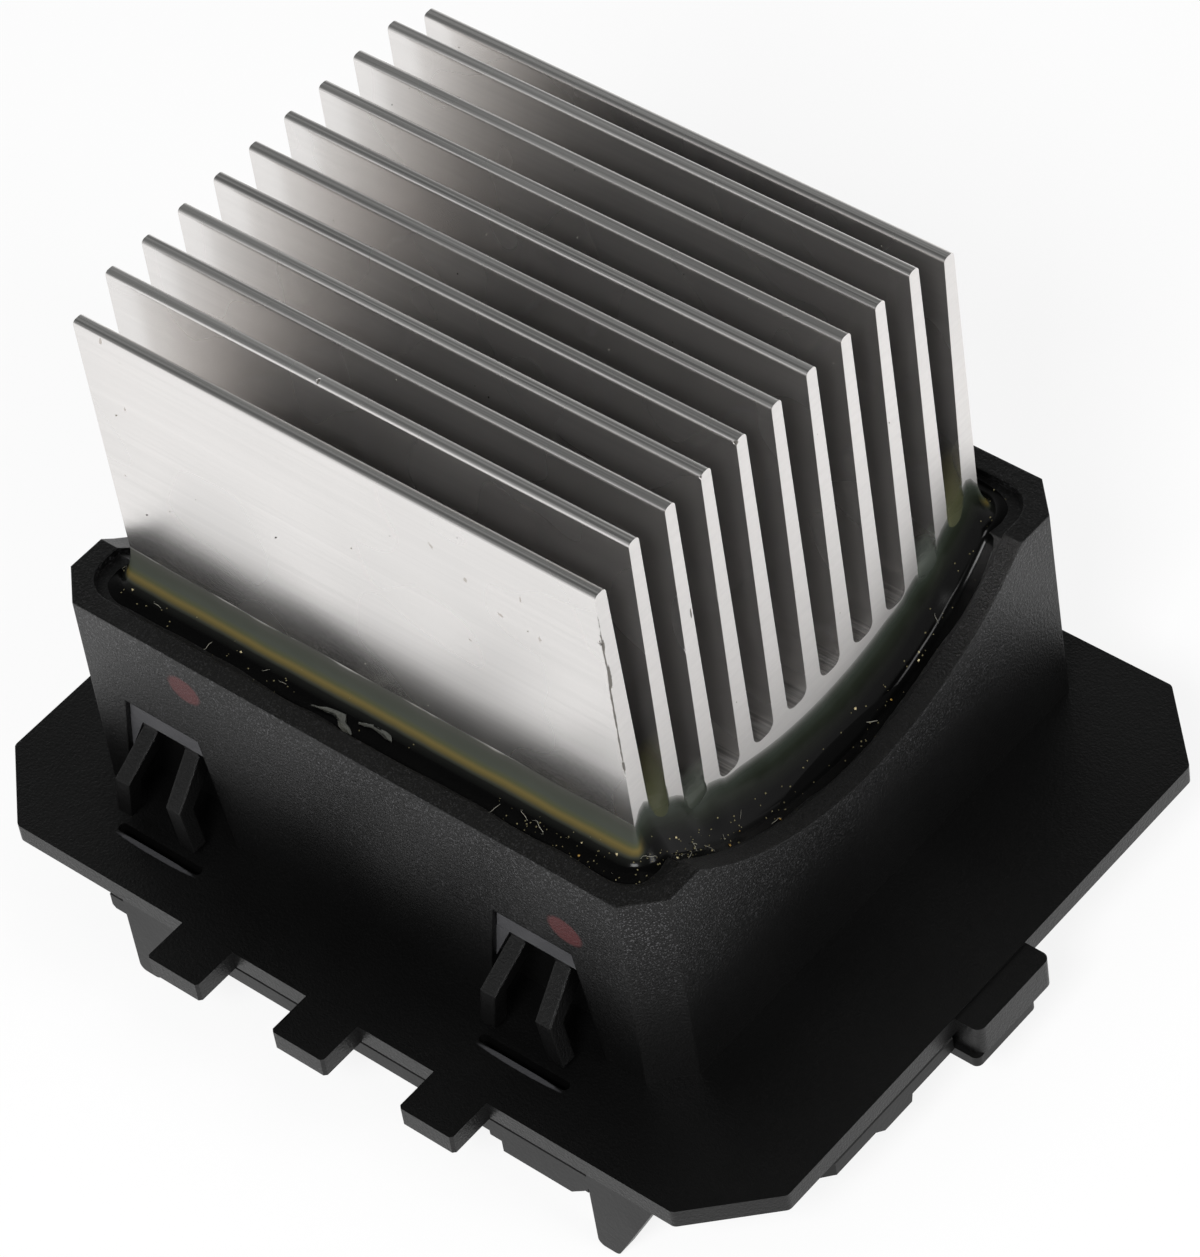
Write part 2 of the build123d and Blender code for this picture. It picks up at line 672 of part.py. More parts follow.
# flat terminals and pins
terminal_parts = {}
blade_spots = {
    "blade_motor_1": socket_a_x - blade_a_off,
    "blade_motor_2": socket_a_x + blade_a_off,
    "blade_supply": socket_b_x - blade_b_off,
    "blade_ground": socket_b_x + blade_b_off,
}
for name, bx in blade_spots.items():
    with BuildPart() as blade:
        mid_block(bx - blade_w / 2, bx + blade_w / 2, -blade_t / 2, blade_t / 2, blade_tip_z, board_z)
        chamfer(blade.edges().filter_by(Axis.X).group_by(Axis.Z)[0], 0.25)
        for tx in (-2, 2):
            mid_block(bx + tx - tail_w / 2, bx + tx + tail_w / 2, -blade_t / 2, blade_t / 2,
                      board_z - 0.5, tail_top)
    terminal_parts[name] = blade.part
for name, bx in (("pin_control", socket_b_x - pin_b_off), ("pin_monitor", socket_b_x + pin_b_off)):
    with BuildPart() as pin:
        mid_block(bx - pin_w / 2, bx + pin_w / 2, -blade_t / 2, blade_t / 2, blade_tip_z + 1.5, board_z)
        chamfer(pin.edges().filter_by(Axis.X).group_by(Axis.Z)[0], 0.25)
        mid_block(bx - 0.5, bx + 0.5, -blade_t / 2, blade_t / 2, board_z - 0.5, tail_top)
    terminal_parts[name] = pin.part

# electrolytic capacitor: rubber bung with its two leads, can above it
with BuildPart() as capacitor_bung:
    rod(can_x, can_y, board_top, board_top + bung_h, can_d - 1.4)
    for s in (-1, 1):
        lx = can_x + s * can_lead_pitch / 2
        mid_block(lx - can_lead_w / 2, lx + can_lead_w / 2, can_y - can_lead_w / 2,
                  can_y + can_lead_w / 2, board_z - 0.8, board_top + 0.2)
with BuildPart() as capacitor_can:
    rod(can_x, can_y, board_top + bung_h, board_top + bung_h + can_h, can_d)
    for turn in (0, 90):
        with Locations(Location((can_x, can_y, board_top + bung_h + can_h), (0, 0, turn))):
            Box(can_d - 2.4, 0.35, 0.5, mode=Mode.SUBTRACT)

# shunt: a bent strip standing on the board
with BuildPart() as shunt:
    with BuildSketch(Plane.YZ.offset(shunt_x - shunt_w / 2)):
        with Locations((shunt_y, board_top + shunt_rise - shunt_t / 2)):
            Rectangle(shunt_l, shunt_t)
        for s in (-1, 1):
            with Locations((shunt_y + s * (shunt_l / 2 - shunt_t / 2), board_top + shunt_rise / 2)):
                Rectangle(shunt_t, shunt_rise)
    extrude(amount=shunt_w)
    fillet(shunt.edges().filter_by(Axis.X).group_by(Axis.Z)[-1], 0.8)
    for s in (-1, 1):
        sy = shunt_y + s * (shunt_l / 2 - shunt_t / 2)
        mid_block(shunt_x - 0.7, shunt_x + 0.7, sy - shunt_t / 2, sy + shunt_t / 2,
                  board_z - 0.6, board_top + 0.3)

# control chip with its two rows of leads
with BuildPart() as control_chip:
    mid_block(chip_x - chip_l / 2, chip_x + chip_l / 2, chip_y - chip_w / 2, chip_y + chip_w / 2,
              board_top + 0.15, board_top + 0.15 + chip_h)
    for k in range(7):
        lx = chip_x + (k - 3) * 1.27
        for s in (-1, 1):
            y_in = chip_y + s * (chip_w / 2 - 0.1)
            y_mid = chip_y + s * (chip_w / 2 + 0.5)
            y_out = chip_y + s * (chip_w / 2 + 1.05)
            mid_block(lx - 0.2, lx + 0.2, min(y_in, y_mid), max(y_in, y_mid),
                      board_top + 0.7, board_top + 0.95)
            mid_block(lx - 0.2, lx + 0.2, min(y_mid - s * 0.25, y_mid), max(y_mid - s * 0.25, y_mid),
                      board_top, board_top + 0.95)
            mid_block(lx - 0.2, lx + 0.2, min(y_mid - s * 0.25, y_out), max(y_mid - s * 0.25, y_out),
                      board_top, board_top + 0.2)

with BuildPart() as surge_diode:
    mid_block(diode_x - 3.4, diode_x + 3.4, diode_y - 2.9, diode_y + 2.9, board_top, board_top + 2.3)
    chamfer(surge_diode.edges().group_by(Axis.Z)[-1], 0.35)

chip_parts = {}
for name, cx, cy, cl, cw, ch in (
    ("ceramic_capacitor_1", -24.0, -10.0, 3.2, 1.6, 1.2),
    ("ceramic_capacitor_2", 7.5, -20.5, 3.2, 1.6, 1.2),
    ("ceramic_capacitor_3", 23.0, -16.0, 3.2, 1.6, 1.2),
    ("chip_resistor_1", -26.0, -15.0, 3.2, 1.6, 0.6),
    ("chip_resistor_2", -24.0, 10.0, 3.2, 1.6, 0.6),
    ("chip_resistor_3", 0.0, 18.0, 3.2, 1.6, 0.6),
    ("chip_resistor_4", 23.5, 12.0, 3.2, 1.6, 0.6),
):
    with BuildPart() as chip:
        mid_block(cx - cl / 2, cx + cl / 2, cy - cw / 2, cy + cw / 2, board_top, board_top + ch)
        chamfer(chip.edges().filter_by(Axis.Y), 0.12)
    chip_parts[name] = chip.part

# move everything to the shared frame: origin at the middle of the underside of the bounding box
shift_x = -(flange_x0 + flange_x1 + side_box_out) / 2
shift_y = -(flange_y0 - tab_out + flange_y1) / 2
shift_z = -socket_bottom
to_frame = Location((shift_x, shift_y, shift_z))

pieces = {
    "heat_sink": heat_sink.part,
    "housing": housing.part,
    "base_cover": base_cover.part,
    "sealant": sealant.part,
    "circuit_board": board.part,
    "clamp_bar": clamp_bar.part,
    "clamp_screw": clamp_screw.part,
    "capacitor_bung": capacitor_bung.part,
    "capacitor_can": capacitor_can.part,
    "shunt": shunt.part,
    "control_chip": control_chip.part,
    "surge_diode": surge_diode.part,
}
pieces.update(screw_parts)
pieces.update(device_parts)
pieces.update(terminal_parts)
pieces.update(chip_parts)

os.makedirs("parts", exist_ok=True)
for name, shape in pieces.items():
    placed = shape.moved(to_frame)
    placed.label = name
    export_step(placed, "parts/" + name + ".step")
    box = placed.bounding_box()
    print(name, len(placed.solids()), "solid", round(placed.volume, 1),
          [round(v, 2) for v in (box.min.X, box.min.Y, box.min.Z, box.max.X, box.max.Y, box.max.Z)])
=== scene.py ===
import json
import math
import bmesh
import bpy
from mathutils import Matrix, Vector, noise


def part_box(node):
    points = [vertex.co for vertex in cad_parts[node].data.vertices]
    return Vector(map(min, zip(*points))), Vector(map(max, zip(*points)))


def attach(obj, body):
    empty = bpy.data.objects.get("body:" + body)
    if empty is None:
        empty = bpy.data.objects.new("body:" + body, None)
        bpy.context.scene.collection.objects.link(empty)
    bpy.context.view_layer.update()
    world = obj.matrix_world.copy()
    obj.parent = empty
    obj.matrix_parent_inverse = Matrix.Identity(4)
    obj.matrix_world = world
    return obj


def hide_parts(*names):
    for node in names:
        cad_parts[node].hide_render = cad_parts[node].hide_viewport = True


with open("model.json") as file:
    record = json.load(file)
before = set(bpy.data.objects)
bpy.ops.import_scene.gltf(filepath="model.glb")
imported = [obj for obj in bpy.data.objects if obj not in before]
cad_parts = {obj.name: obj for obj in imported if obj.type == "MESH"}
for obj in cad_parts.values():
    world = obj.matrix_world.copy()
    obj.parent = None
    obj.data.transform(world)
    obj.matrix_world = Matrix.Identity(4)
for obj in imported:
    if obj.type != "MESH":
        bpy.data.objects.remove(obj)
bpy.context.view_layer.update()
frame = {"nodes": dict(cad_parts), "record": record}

nodes = frame["nodes"]
MM = 0.001

# The part's datum: middle of the fins in plan, top face of the flange at height 0.
sink_low, sink_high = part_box("heat_sink")
housing_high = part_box("housing")[1]
RIM = 24.9
SINK_X = (sink_high[0] - sink_low[0]) / 2 / MM
SINK_Y = (sink_high[1] - sink_low[1]) / 2 / MM
FIN_TOP = 61.0
FIN_PITCH = 5.0
DATUM = Vector((
    (sink_low[0] + sink_high[0]) / 2,
    (sink_low[1] + sink_high[1]) / 2,
    housing_high[2] - RIM * MM,
))


def spot_at(x, y, z):
    """A point given in millimetres from the datum, in metres of the shared frame."""
    return DATUM + Vector((x, y, z)) * MM


def linear(code):
    """Linear colour of an sRGB hex code such as c8c7c4."""
    out = []
    for i in (0, 2, 4):
        c = int(code[i:i + 2], 16) / 255
        out.append(c / 12.92 if c <= 0.04045 else ((c + 0.055) / 1.055) ** 2.4)
    return (*out, 1.0)


def put(tree, kind, inputs=None, **settings):
    """Adds one node: settings are its properties, inputs its sockets, each a value or a socket to link."""
    node = tree.nodes.new(kind)
    for name, value in settings.items():
        setattr(node, name, value)
    for key, value in (inputs or {}).items():
        if isinstance(value, bpy.types.NodeSocket):
            tree.links.new(value, node.inputs[key])
        else:
            node.inputs[key].default_value = value
    return node


def new_material(name):
    material = bpy.data.materials.new(name)
    material.use_nodes = True
    tree = material.node_tree
    tree.nodes.clear()
    return material, tree


def set_ramp(ramp, stops):
    """Gives a colour ramp its stops, each a position and an sRGB code."""
    steps = ramp.color_ramp.elements
    steps[0].position, steps[0].color = stops[0][0], linear(stops[0][1])
    steps[1].position, steps[1].color = stops[-1][0], linear(stops[-1][1])
    for spot, code in stops[1:-1]:
        steps.new(spot).color = linear(code)


# Share of a mark's half length over which it fades in.
EDGE_SOFTNESS = 0.18


def soft_marks(tree, place, marks, ragged=0.5, grain_mm=0.8):
    """Mask of soft-edged ovals: each is a centre and half lengths from the datum, and turns in degrees."""
    wander = put(tree, "ShaderNodeTexNoise", {"Vector": place, "Scale": 1000.0 / grain_mm, "Detail": 3.0})
    total = None
    for centre, half, turns in marks:
        middle = spot_at(*centre)
        reach = [h * MM for h in half]
        if any(turns):
            local = put(tree, "ShaderNodeMapping", {
                "Vector": place, "Location": middle, "Scale": reach,
                "Rotation": [math.radians(t) for t in turns]}, vector_type="TEXTURE")
        else:
            local = put(tree, "ShaderNodeVectorMath", {
                0: place, 1: [1 / r for r in reach],
                2: [-m / r for m, r in zip(middle, reach)]}, operation="MULTIPLY_ADD")
        ball = put(tree, "ShaderNodeTexGradient", {"Vector": local.outputs[0]}, gradient_type="SPHERICAL")
        if total is None:
            total = ball.outputs["Fac"]
        else:
            larger = put(tree, "ShaderNodeMath", {0: total, 1: ball.outputs["Fac"]}, operation="MAXIMUM")
            total = larger.outputs[0]
    rough_edge = put(tree, "ShaderNodeMath", {0: wander.outputs["Fac"], 1: ragged}, operation="MULTIPLY")
    shifted = put(tree, "ShaderNodeMath", {0: total, 1: rough_edge.outputs[0]}, operation="SUBTRACT")
    return put(tree, "ShaderNodeMapRange", {
        "Value": shifted.outputs[0], "From Min": 0.0, "From Max": EDGE_SOFTNESS}).outputs[0]


# Repeats per metre of the patterns on the aluminium, along X, Y and Z.
DIE_LINES = (14.0, 1700.0, 1700.0)
SAW_CUTS = (300.0, 250.0, 2300.0)
TOP_STREAKS = (9.0, 5200.0, 900.0)


# Mill-finish aluminium extrusion: bright satin metal with fine die lines along the fins,
# sawn across its ends, with a few rubbed scuffs from handling.
def make_aluminium():
    material, tree = new_material("mill_finish_aluminium")
    place = put(tree, "ShaderNodeTexCoord").outputs
    drawn = put(tree, "ShaderNodeMapping", {"Vector": place["Object"], "Scale": DIE_LINES})
    lines = put(tree, "ShaderNodeTexNoise", {
        "Vector": drawn.outputs[0], "Scale": 1.0, "Detail": 2.0, "Roughness": 0.6})
    cloud = put(tree, "ShaderNodeTexNoise", {"Vector": place["Object"], "Scale": 70.0, "Detail": 1.0})
    across = put(tree, "ShaderNodeMapping", {
        "Vector": place["Object"], "Scale": SAW_CUTS, "Rotation": (0.35, 0.0, 0.0)})
    cuts = put(tree, "ShaderNodeTexNoise", {"Vector": across.outputs[0], "Scale": 1.0, "Detail": 2.0})
    facing = put(tree, "ShaderNodeSeparateXYZ", {0: place["Normal"]})
    side = put(tree, "ShaderNodeMath", {0: facing.outputs["X"]}, operation="ABSOLUTE")
    sawn = put(tree, "ShaderNodeMath", {0: side.outputs[0], 1: 0.8}, operation="GREATER_THAN")
    grain = put(tree, "ShaderNodeMix", {
        "Factor": sawn.outputs[0], 2: lines.outputs["Fac"], 3: cuts.outputs["Fac"]})
    tone = put(tree, "ShaderNodeMapRange", {
        "Value": grain.outputs[0], "From Min": 0.3, "From Max": 0.7, "To Min": 0.955, "To Max": 1.0})
    pulled = put(tree, "ShaderNodeMapping", {"Vector": place["Object"], "Scale": TOP_STREAKS})
    streaks = put(tree, "ShaderNodeTexNoise", {"Vector": pulled.outputs[0], "Scale": 1.0, "Detail": 1.0})
    streak_tone = put(tree, "ShaderNodeMapRange", {
        "Value": streaks.outputs["Fac"], "From Min": 0.38, "From Max": 0.6, "To Min": 0.66, "To Max": 1.0})
    tops = put(tree, "ShaderNodeMath", {0: facing.outputs["Z"], 1: 0.3}, operation="GREATER_THAN")
    tone = put(tree, "ShaderNodeMix", {
        "Factor": tops.outputs[0], 2: tone.outputs[0], 3: streak_tone.outputs[0]})
    base = put(tree, "ShaderNodeMix", {
        "Factor": cloud.outputs["Fac"], 6: linear("edeae8"), 7: linear("e6e4e2")}, data_type="RGBA")
    toned = put(tree, "ShaderNodeMix", {
        "Factor": 1.0, 6: base.outputs[2], 7: tone.outputs[0]}, data_type="RGBA", blend_type="MULTIPLY")
    scuffed = soft_marks(tree, place["Object"], SCUFFS, ragged=1.15, grain_mm=0.35)
    worn = put(tree, "ShaderNodeMix", {
        "Factor": scuffed, 6: toned.outputs[2], 7: linear("cdc7c1")}, data_type="RGBA")
    rough_die = put(tree, "ShaderNodeMapRange", {
        "Value": cloud.outputs["Fac"], "From Min": 0.3, "From Max": 0.7, "To Min": 0.24, "To Max": 0.3})
    rough_cut = put(tree, "ShaderNodeMix", {"Factor": sawn.outputs[0], 2: rough_die.outputs[0], 3: 0.45})
    rough = put(tree, "ShaderNodeMix", {"Factor": scuffed, 2: rough_cut.outputs[0], 3: 0.6})
    chips = soft_marks(tree, place["Object"], CHIPS, ragged=0.75, grain_mm=0.7)
    chipped = put(tree, "ShaderNodeMix", {
        "Factor": chips, 6: worn.outputs[2], 7: linear("84817c")}, data_type="RGBA")
    torn = put(tree, "ShaderNodeMix", {"Factor": chips, 2: rough.outputs[0], 3: 0.55})
    fine = put(tree, "ShaderNodeBump", {"Height": grain.outputs[0], "Strength": 0.05, "Distance": 0.00002})
    relief = put(tree, "ShaderNodeBump", {
        "Height": chips, "Strength": 0.8, "Distance": 0.0002, "Normal": fine.outputs[0]}, invert=True)
    surface = put(tree, "ShaderNodeBsdfPrincipled", {
        "Base Color": chipped.outputs[2], "Metallic": 0.965,
        "Roughness": torn.outputs[0], "Normal": relief.outputs[0]})
    put(tree, "ShaderNodeOutputMaterial", {"Surface": surface.outputs[0]})
    return material


# Heights on the housing's walls: where the painted glints begin and are full, and where soft edges begin.
PAINTED_GLINT_LOW = 9.0
PAINTED_GLINT_HIGH = 21.0
WALL_FOOT = 1.2


# Glass-filled nylon moulded against a spark-eroded tool: black, with a fine even grain in relief, and painted
# glints: grain dots lightened in the base colour to stand in for light caught by the grain, more on higher
# and upright faces.
def make_nylon(name, dark, light, rough_low, rough_high, grain_mm, depth, painted_glint_share, mirror,
               marks=(), lips=()):
    material, tree = new_material(name)
    place = put(tree, "ShaderNodeTexCoord").outputs
    grain = put(tree, "ShaderNodeTexNoise", {
        "Vector": place["Object"], "Scale": 1000.0 / grain_mm, "Detail": 3.0, "Roughness": 0.65})
    cloud = put(tree, "ShaderNodeTexNoise", {"Vector": place["Object"], "Scale": 60.0, "Detail": 3.0})
    base = put(tree, "ShaderNodeMix", {
        "Factor": cloud.outputs["Fac"], 6: linear(dark), 7: linear(light)}, data_type="RGBA")
    glint = put(tree, "ShaderNodeTexNoise", {
        "Vector": place["Object"], "Scale": 1000.0 / (grain_mm * 0.6), "Detail": 1.0})
    spot = put(tree, "ShaderNodeSeparateXYZ", {0: place["Object"]})
    tilt = put(tree, "ShaderNodeSeparateXYZ", {0: place["Normal"]})
    level = put(tree, "ShaderNodeMapRange", {
        "Value": spot.outputs["Z"], "To Min": 0.0, "To Max": painted_glint_share,
        "From Min": spot_at(0, 0, PAINTED_GLINT_LOW).z, "From Max": spot_at(0, 0, PAINTED_GLINT_HIGH).z})
    wall = put(tree, "ShaderNodeMapRange", {
        "Value": tilt.outputs["Z"], "From Min": 0.2, "From Max": 0.7, "To Min": 1.0, "To Max": 0.2})
    lit = put(tree, "ShaderNodeMath", {0: level.outputs[0], 1: wall.outputs[0]}, operation="MULTIPLY")
    # Painted glints: dots of the grain lightened towards 8a8a8c, full high on upright walls, fading lower
    # down and on faces turned up, where the lamps don't catch them.
    spark = put(tree, "ShaderNodeMapRange", {
        "Value": glint.outputs["Fac"], "From Min": 0.58, "From Max": 0.68,
        "To Min": 0.0, "To Max": lit.outputs[0]})
    colour = put(tree, "ShaderNodeMix", {
        "Factor": spark.outputs[0], 6: base.outputs[2], 7: linear("8a8a8c")}, data_type="RGBA").outputs[2]
    # Painted highlight along the lips of the flange slots: the black lightened towards 38383a there.
    if lips:
        painted_lip_highlight = soft_marks(tree, place["Object"], lips, ragged=0.2, grain_mm=0.5)
        colour = put(tree, "ShaderNodeMix", {
            "Factor": painted_lip_highlight, 6: colour, 7: linear("38383a")}, data_type="RGBA").outputs[2]
    if marks:
        painted = soft_marks(tree, place["Object"], marks, ragged=0.12, grain_mm=0.6)
        thin = put(tree, "ShaderNodeMath", {0: painted, 1: 0.85}, operation="MULTIPLY")
        colour = put(tree, "ShaderNodeMix", {
            "Factor": thin.outputs[0], 6: colour, 7: linear("4f2627")}, data_type="RGBA").outputs[2]
    rough = put(tree, "ShaderNodeMapRange", {
        "Value": cloud.outputs["Fac"], "From Min": 0.3, "From Max": 0.7,
        "To Min": rough_low, "To Max": rough_high})
    facing = put(tree, "ShaderNodeNewGeometry").outputs["Normal"]
    if lips:
        soft_edge = put(tree, "ShaderNodeBevel", {"Radius": 0.0003}, samples=2)
        raised = put(tree, "ShaderNodeMath", {
            0: spot.outputs["Z"], 1: spot_at(0, 0, WALL_FOOT).z}, operation="GREATER_THAN")
        facing = put(tree, "ShaderNodeMix", {
            "Factor": raised.outputs[0], 4: facing, 5: soft_edge.outputs[0]}, data_type="VECTOR").outputs[1]
    relief = put(tree, "ShaderNodeBump", {
        "Height": grain.outputs["Fac"], "Strength": 0.9, "Distance": depth, "Normal": facing})
    surface = put(tree, "ShaderNodeBsdfPrincipled", {
        "Base Color": colour, "Roughness": rough.outputs[0], "IOR": 1.45,
        "Specular IOR Level": mirror, "Normal": relief.outputs[0]})
    put(tree, "ShaderNodeOutputMaterial", {"Surface": surface.outputs[0]})
    return material


# Clear silicone cast in place and cured: wet gloss, fading from the metal through grey green to
# black as it gets deeper, with an amber edge where the bead ends on the long sides.
def make_silicone():
    material, tree = new_material("cast_silicone")
    place = put(tree, "ShaderNodeTexCoord").outputs
    depth = put(tree, "ShaderNodeAttribute", attribute_name="depth").outputs["Fac"]
    amber = put(tree, "ShaderNodeAttribute", attribute_name="amber").outputs["Fac"]
    swirl = put(tree, "ShaderNodeTexNoise", {"Vector": place["Object"], "Scale": 170.0, "Detail": 3.0})
    drift = put(tree, "ShaderNodeMath", {0: swirl.outputs["Fac"], 1: 0.5}, operation="SUBTRACT")
    moved = put(tree, "ShaderNodeMath", {0: drift.outputs[0], 1: 0.1, 2: depth}, operation="MULTIPLY_ADD")
    bead = put(tree, "ShaderNodeValToRGB", {"Fac": moved.outputs[0]})
    set_ramp(bead, [(0.0, "a09f9b"), (0.03, "4a4a46"), (0.1, "42443e"), (0.26, "3d413a"), (0.36, "44452f"),
                    (0.46, "5d522d"), (0.54, "504729"), (0.63, "30322a"), (0.71, "131412"), (1.0, "050505")])
    well = put(tree, "ShaderNodeValToRGB", {"Fac": moved.outputs[0]})
    set_ramp(well, [(0.0, "a2a39e"), (0.05, "6f716c"), (0.12, "464a45"), (0.24, "2e332d"), (0.38, "1d211a"),
                    (0.55, "0e100b"), (0.72, "050505"), (1.0, "030303")])
    patch = put(tree, "ShaderNodeTexNoise", {"Vector": place["Object"], "Scale": 240.0, "Detail": 2.0})
    patchy = put(tree, "ShaderNodeMapRange", {
        "Value": patch.outputs["Fac"], "From Min": 0.5, "From Max": 0.75, "To Min": 0.0, "To Max": 0.35})
    olive = put(tree, "ShaderNodeMix", {
        "Factor": patchy.outputs[0], 6: well.outputs[0], 7: linear("8a8a5c")},
        data_type="RGBA", blend_type="MULTIPLY")
    colour = put(tree, "ShaderNodeMix", {
        "Factor": amber, 6: olive.outputs[2], 7: bead.outputs[0]}, data_type="RGBA")
    skin = put(tree, "ShaderNodeTexNoise", {"Vector": place["Object"], "Scale": 420.0, "Detail": 1.0})
    relief = put(tree, "ShaderNodeBump", {
        "Height": skin.outputs["Fac"], "Strength": 0.12, "Distance": 0.0002})
    cover = put(tree, "ShaderNodeAttribute", attribute_name="cover").outputs["Fac"]
    surface = put(tree, "ShaderNodeBsdfPrincipled", {
        "Base Color": colour.outputs[2], "Roughness": 0.17, "IOR": 1.41,
        "Specular IOR Level": 0.12, "Alpha": cover, "Normal": relief.outputs[0]})
    put(tree, "ShaderNodeOutputMaterial", {"Surface": surface.outputs[0]})
    return material


# Plain finishes of the hidden parts: a base colour with a fine pattern in tone, roughness and relief.
def make_finish(name, light, dark, pattern_mm, rough_low, rough_high,
                metallic=0.0, stretch=(1, 1, 1), depth=0.00002):
    material, tree = new_material(name)
    place = put(tree, "ShaderNodeTexCoord").outputs
    drawn = put(tree, "ShaderNodeMapping", {
        "Vector": place["Object"], "Scale": [share * 1000.0 / pattern_mm for share in stretch]})
    grain = put(tree, "ShaderNodeTexNoise", {"Vector": drawn.outputs[0], "Scale": 1.0, "Detail": 3.0})
    base = put(tree, "ShaderNodeMix", {
        "Factor": grain.outputs["Fac"], 6: linear(light), 7: linear(dark)}, data_type="RGBA")
    rough = put(tree, "ShaderNodeMapRange", {
        "Value": grain.outputs["Fac"], "From Min": 0.3, "From Max": 0.7,
        "To Min": rough_low, "To Max": rough_high})
    relief = put(tree, "ShaderNodeBump", {"Height": grain.outputs["Fac"], "Strength": 0.3, "Distance": depth})
    surface = put(tree, "ShaderNodeBsdfPrincipled", {
        "Base Color": base.outputs[2], "Metallic": metallic,
        "Roughness": rough.outputs[0], "Normal": relief.outputs[0]})
    put(tree, "ShaderNodeOutputMaterial", {"Surface": surface.outputs[0]})
    return material


# Marks, each a centre and half lengths in millimetres from the datum, and turns in degrees: wear on the
# metal, paint on the housing, and painted highlights along the slot lips.
SCUFFS = [
    ((-28.1, -25.7, 58.0), (0.5, 0.6, 1.2), (0, 20, 0)),
    ((-27.0, -25.7, 49.7), (0.35, 0.6, 0.9), (0, 10, 0)),
    ((-29.4, -25.7, 39.6), (0.4, 0.6, 0.5), (0, 0, 0)),
    ((11.6, -25.7, 53.8), (0.5, 0.6, 1.1), (0, -25, 0)),
    ((15.3, -25.7, 51.5), (0.6, 0.6, 0.7), (0, 30, 0)),
    ((19.0, -25.7, 49.1), (0.9, 0.6, 0.5), (0, 15, 0)),
    ((23.6, -25.7, 48.6), (0.5, 0.6, 0.9), (0, 0, 0)),
    ((14.4, -25.7, 43.0), (0.8, 0.6, 0.3), (0, 35, 0)),
    ((22.0, -25.7, 52.8), (0.3, 0.6, 0.8), (0, 0, 0)),
]
CHIPS = [
    ((31.5, -25.74, 45.5), (0.35, 0.2, 19.0), (0, 0, 0)),
    ((31.5, -25.66, 52.4), (0.35, 0.3, 1.5), (0, 0, 0)),
    ((31.5, -25.55, 48.2), (0.5, 0.42, 2.8), (0, 0, 0)),
    ((31.5, -25.7, 36.6), (0.35, 0.28, 1.2), (0, 0, 0)),
    ((31.5, -21.1, 53.0), (0.5, 0.3, 1.9), (0, 0, 0)),
    ((31.5, -20.85, 57.6), (0.25, 0.17, 1.6), (0, 0, 0)),
    ((31.5, -20.95, 46.0), (0.25, 0.17, 1.6), (0, 0, 0)),
    ((31.5, -16.0, 49.0), (0.3, 0.2, 2.0), (0, 0, 0)),
    ((31.5, -15.95, 43.0), (0.3, 0.18, 1.2), (0, 0, 0)),
    ((31.5, -14.45, 46.5), (0.3, 0.16, 1.2), (0, 0, 0)),
    ((31.5, -10.8, 60.7), (0.5, 0.4, 0.4), (0, 0, 0)),
    ((31.5, -5.7, 60.7), (0.7, 0.5, 0.4), (0, 0, 0)),
    ((-5.1, -20.4, 61.0), (0.35, 0.5, 0.6), (0, 0, 0)),
    ((-21.0, -7.7, 61.0), (0.5, 0.3, 0.3), (0, 0, 0)),
]
PAINT = [
    ((-20.3, -31.95, 20.8), (2.35, 1.9, 1.8), (0, 12, 0)),
    ((26.8, -31.95, 16.8), (2.4, 1.9, 1.75), (0, 15, 0)),
]
# Painted highlights: light lines along the near lips of the flange slots, standing in for light caught on
# their edges.
SLOT_LIP_HIGHLIGHTS = [
    ((-23.8, -37.85, -0.1), (6.2, 0.4, 0.5), (0, 0, 0)),
    ((23.2, -37.85, -0.1), (6.2, 0.4, 0.5), (0, 0, 0)),
]

aluminium = make_aluminium()
housing_nylon = make_nylon(
    "spark_grained_nylon", "040404", "070707", rough_low=0.33, rough_high=0.4, grain_mm=0.3,
    depth=0.00008, painted_glint_share=0.24, mirror=0.4, marks=PAINT, lips=SLOT_LIP_HIGHLIGHTS)
# Smooth faces in the latch recesses: black nylon given a grey base colour as a painted reflection, standing
# in for the sheen of its smooth faces.
reflection_painted_nylon = make_nylon(
    "nylon_with_painted_reflection", "434345", "4c4c4e", rough_low=0.3, rough_high=0.36, grain_mm=0.4,
    depth=0.00002, painted_glint_share=0.04, mirror=0.5)
cover_nylon = make_nylon(
    "plain_moulded_nylon", "050505", "080808", rough_low=0.38, rough_high=0.48, grain_mm=0.5,
    depth=0.00003, painted_glint_share=0.03, mirror=0.35)
silicone = make_silicone()

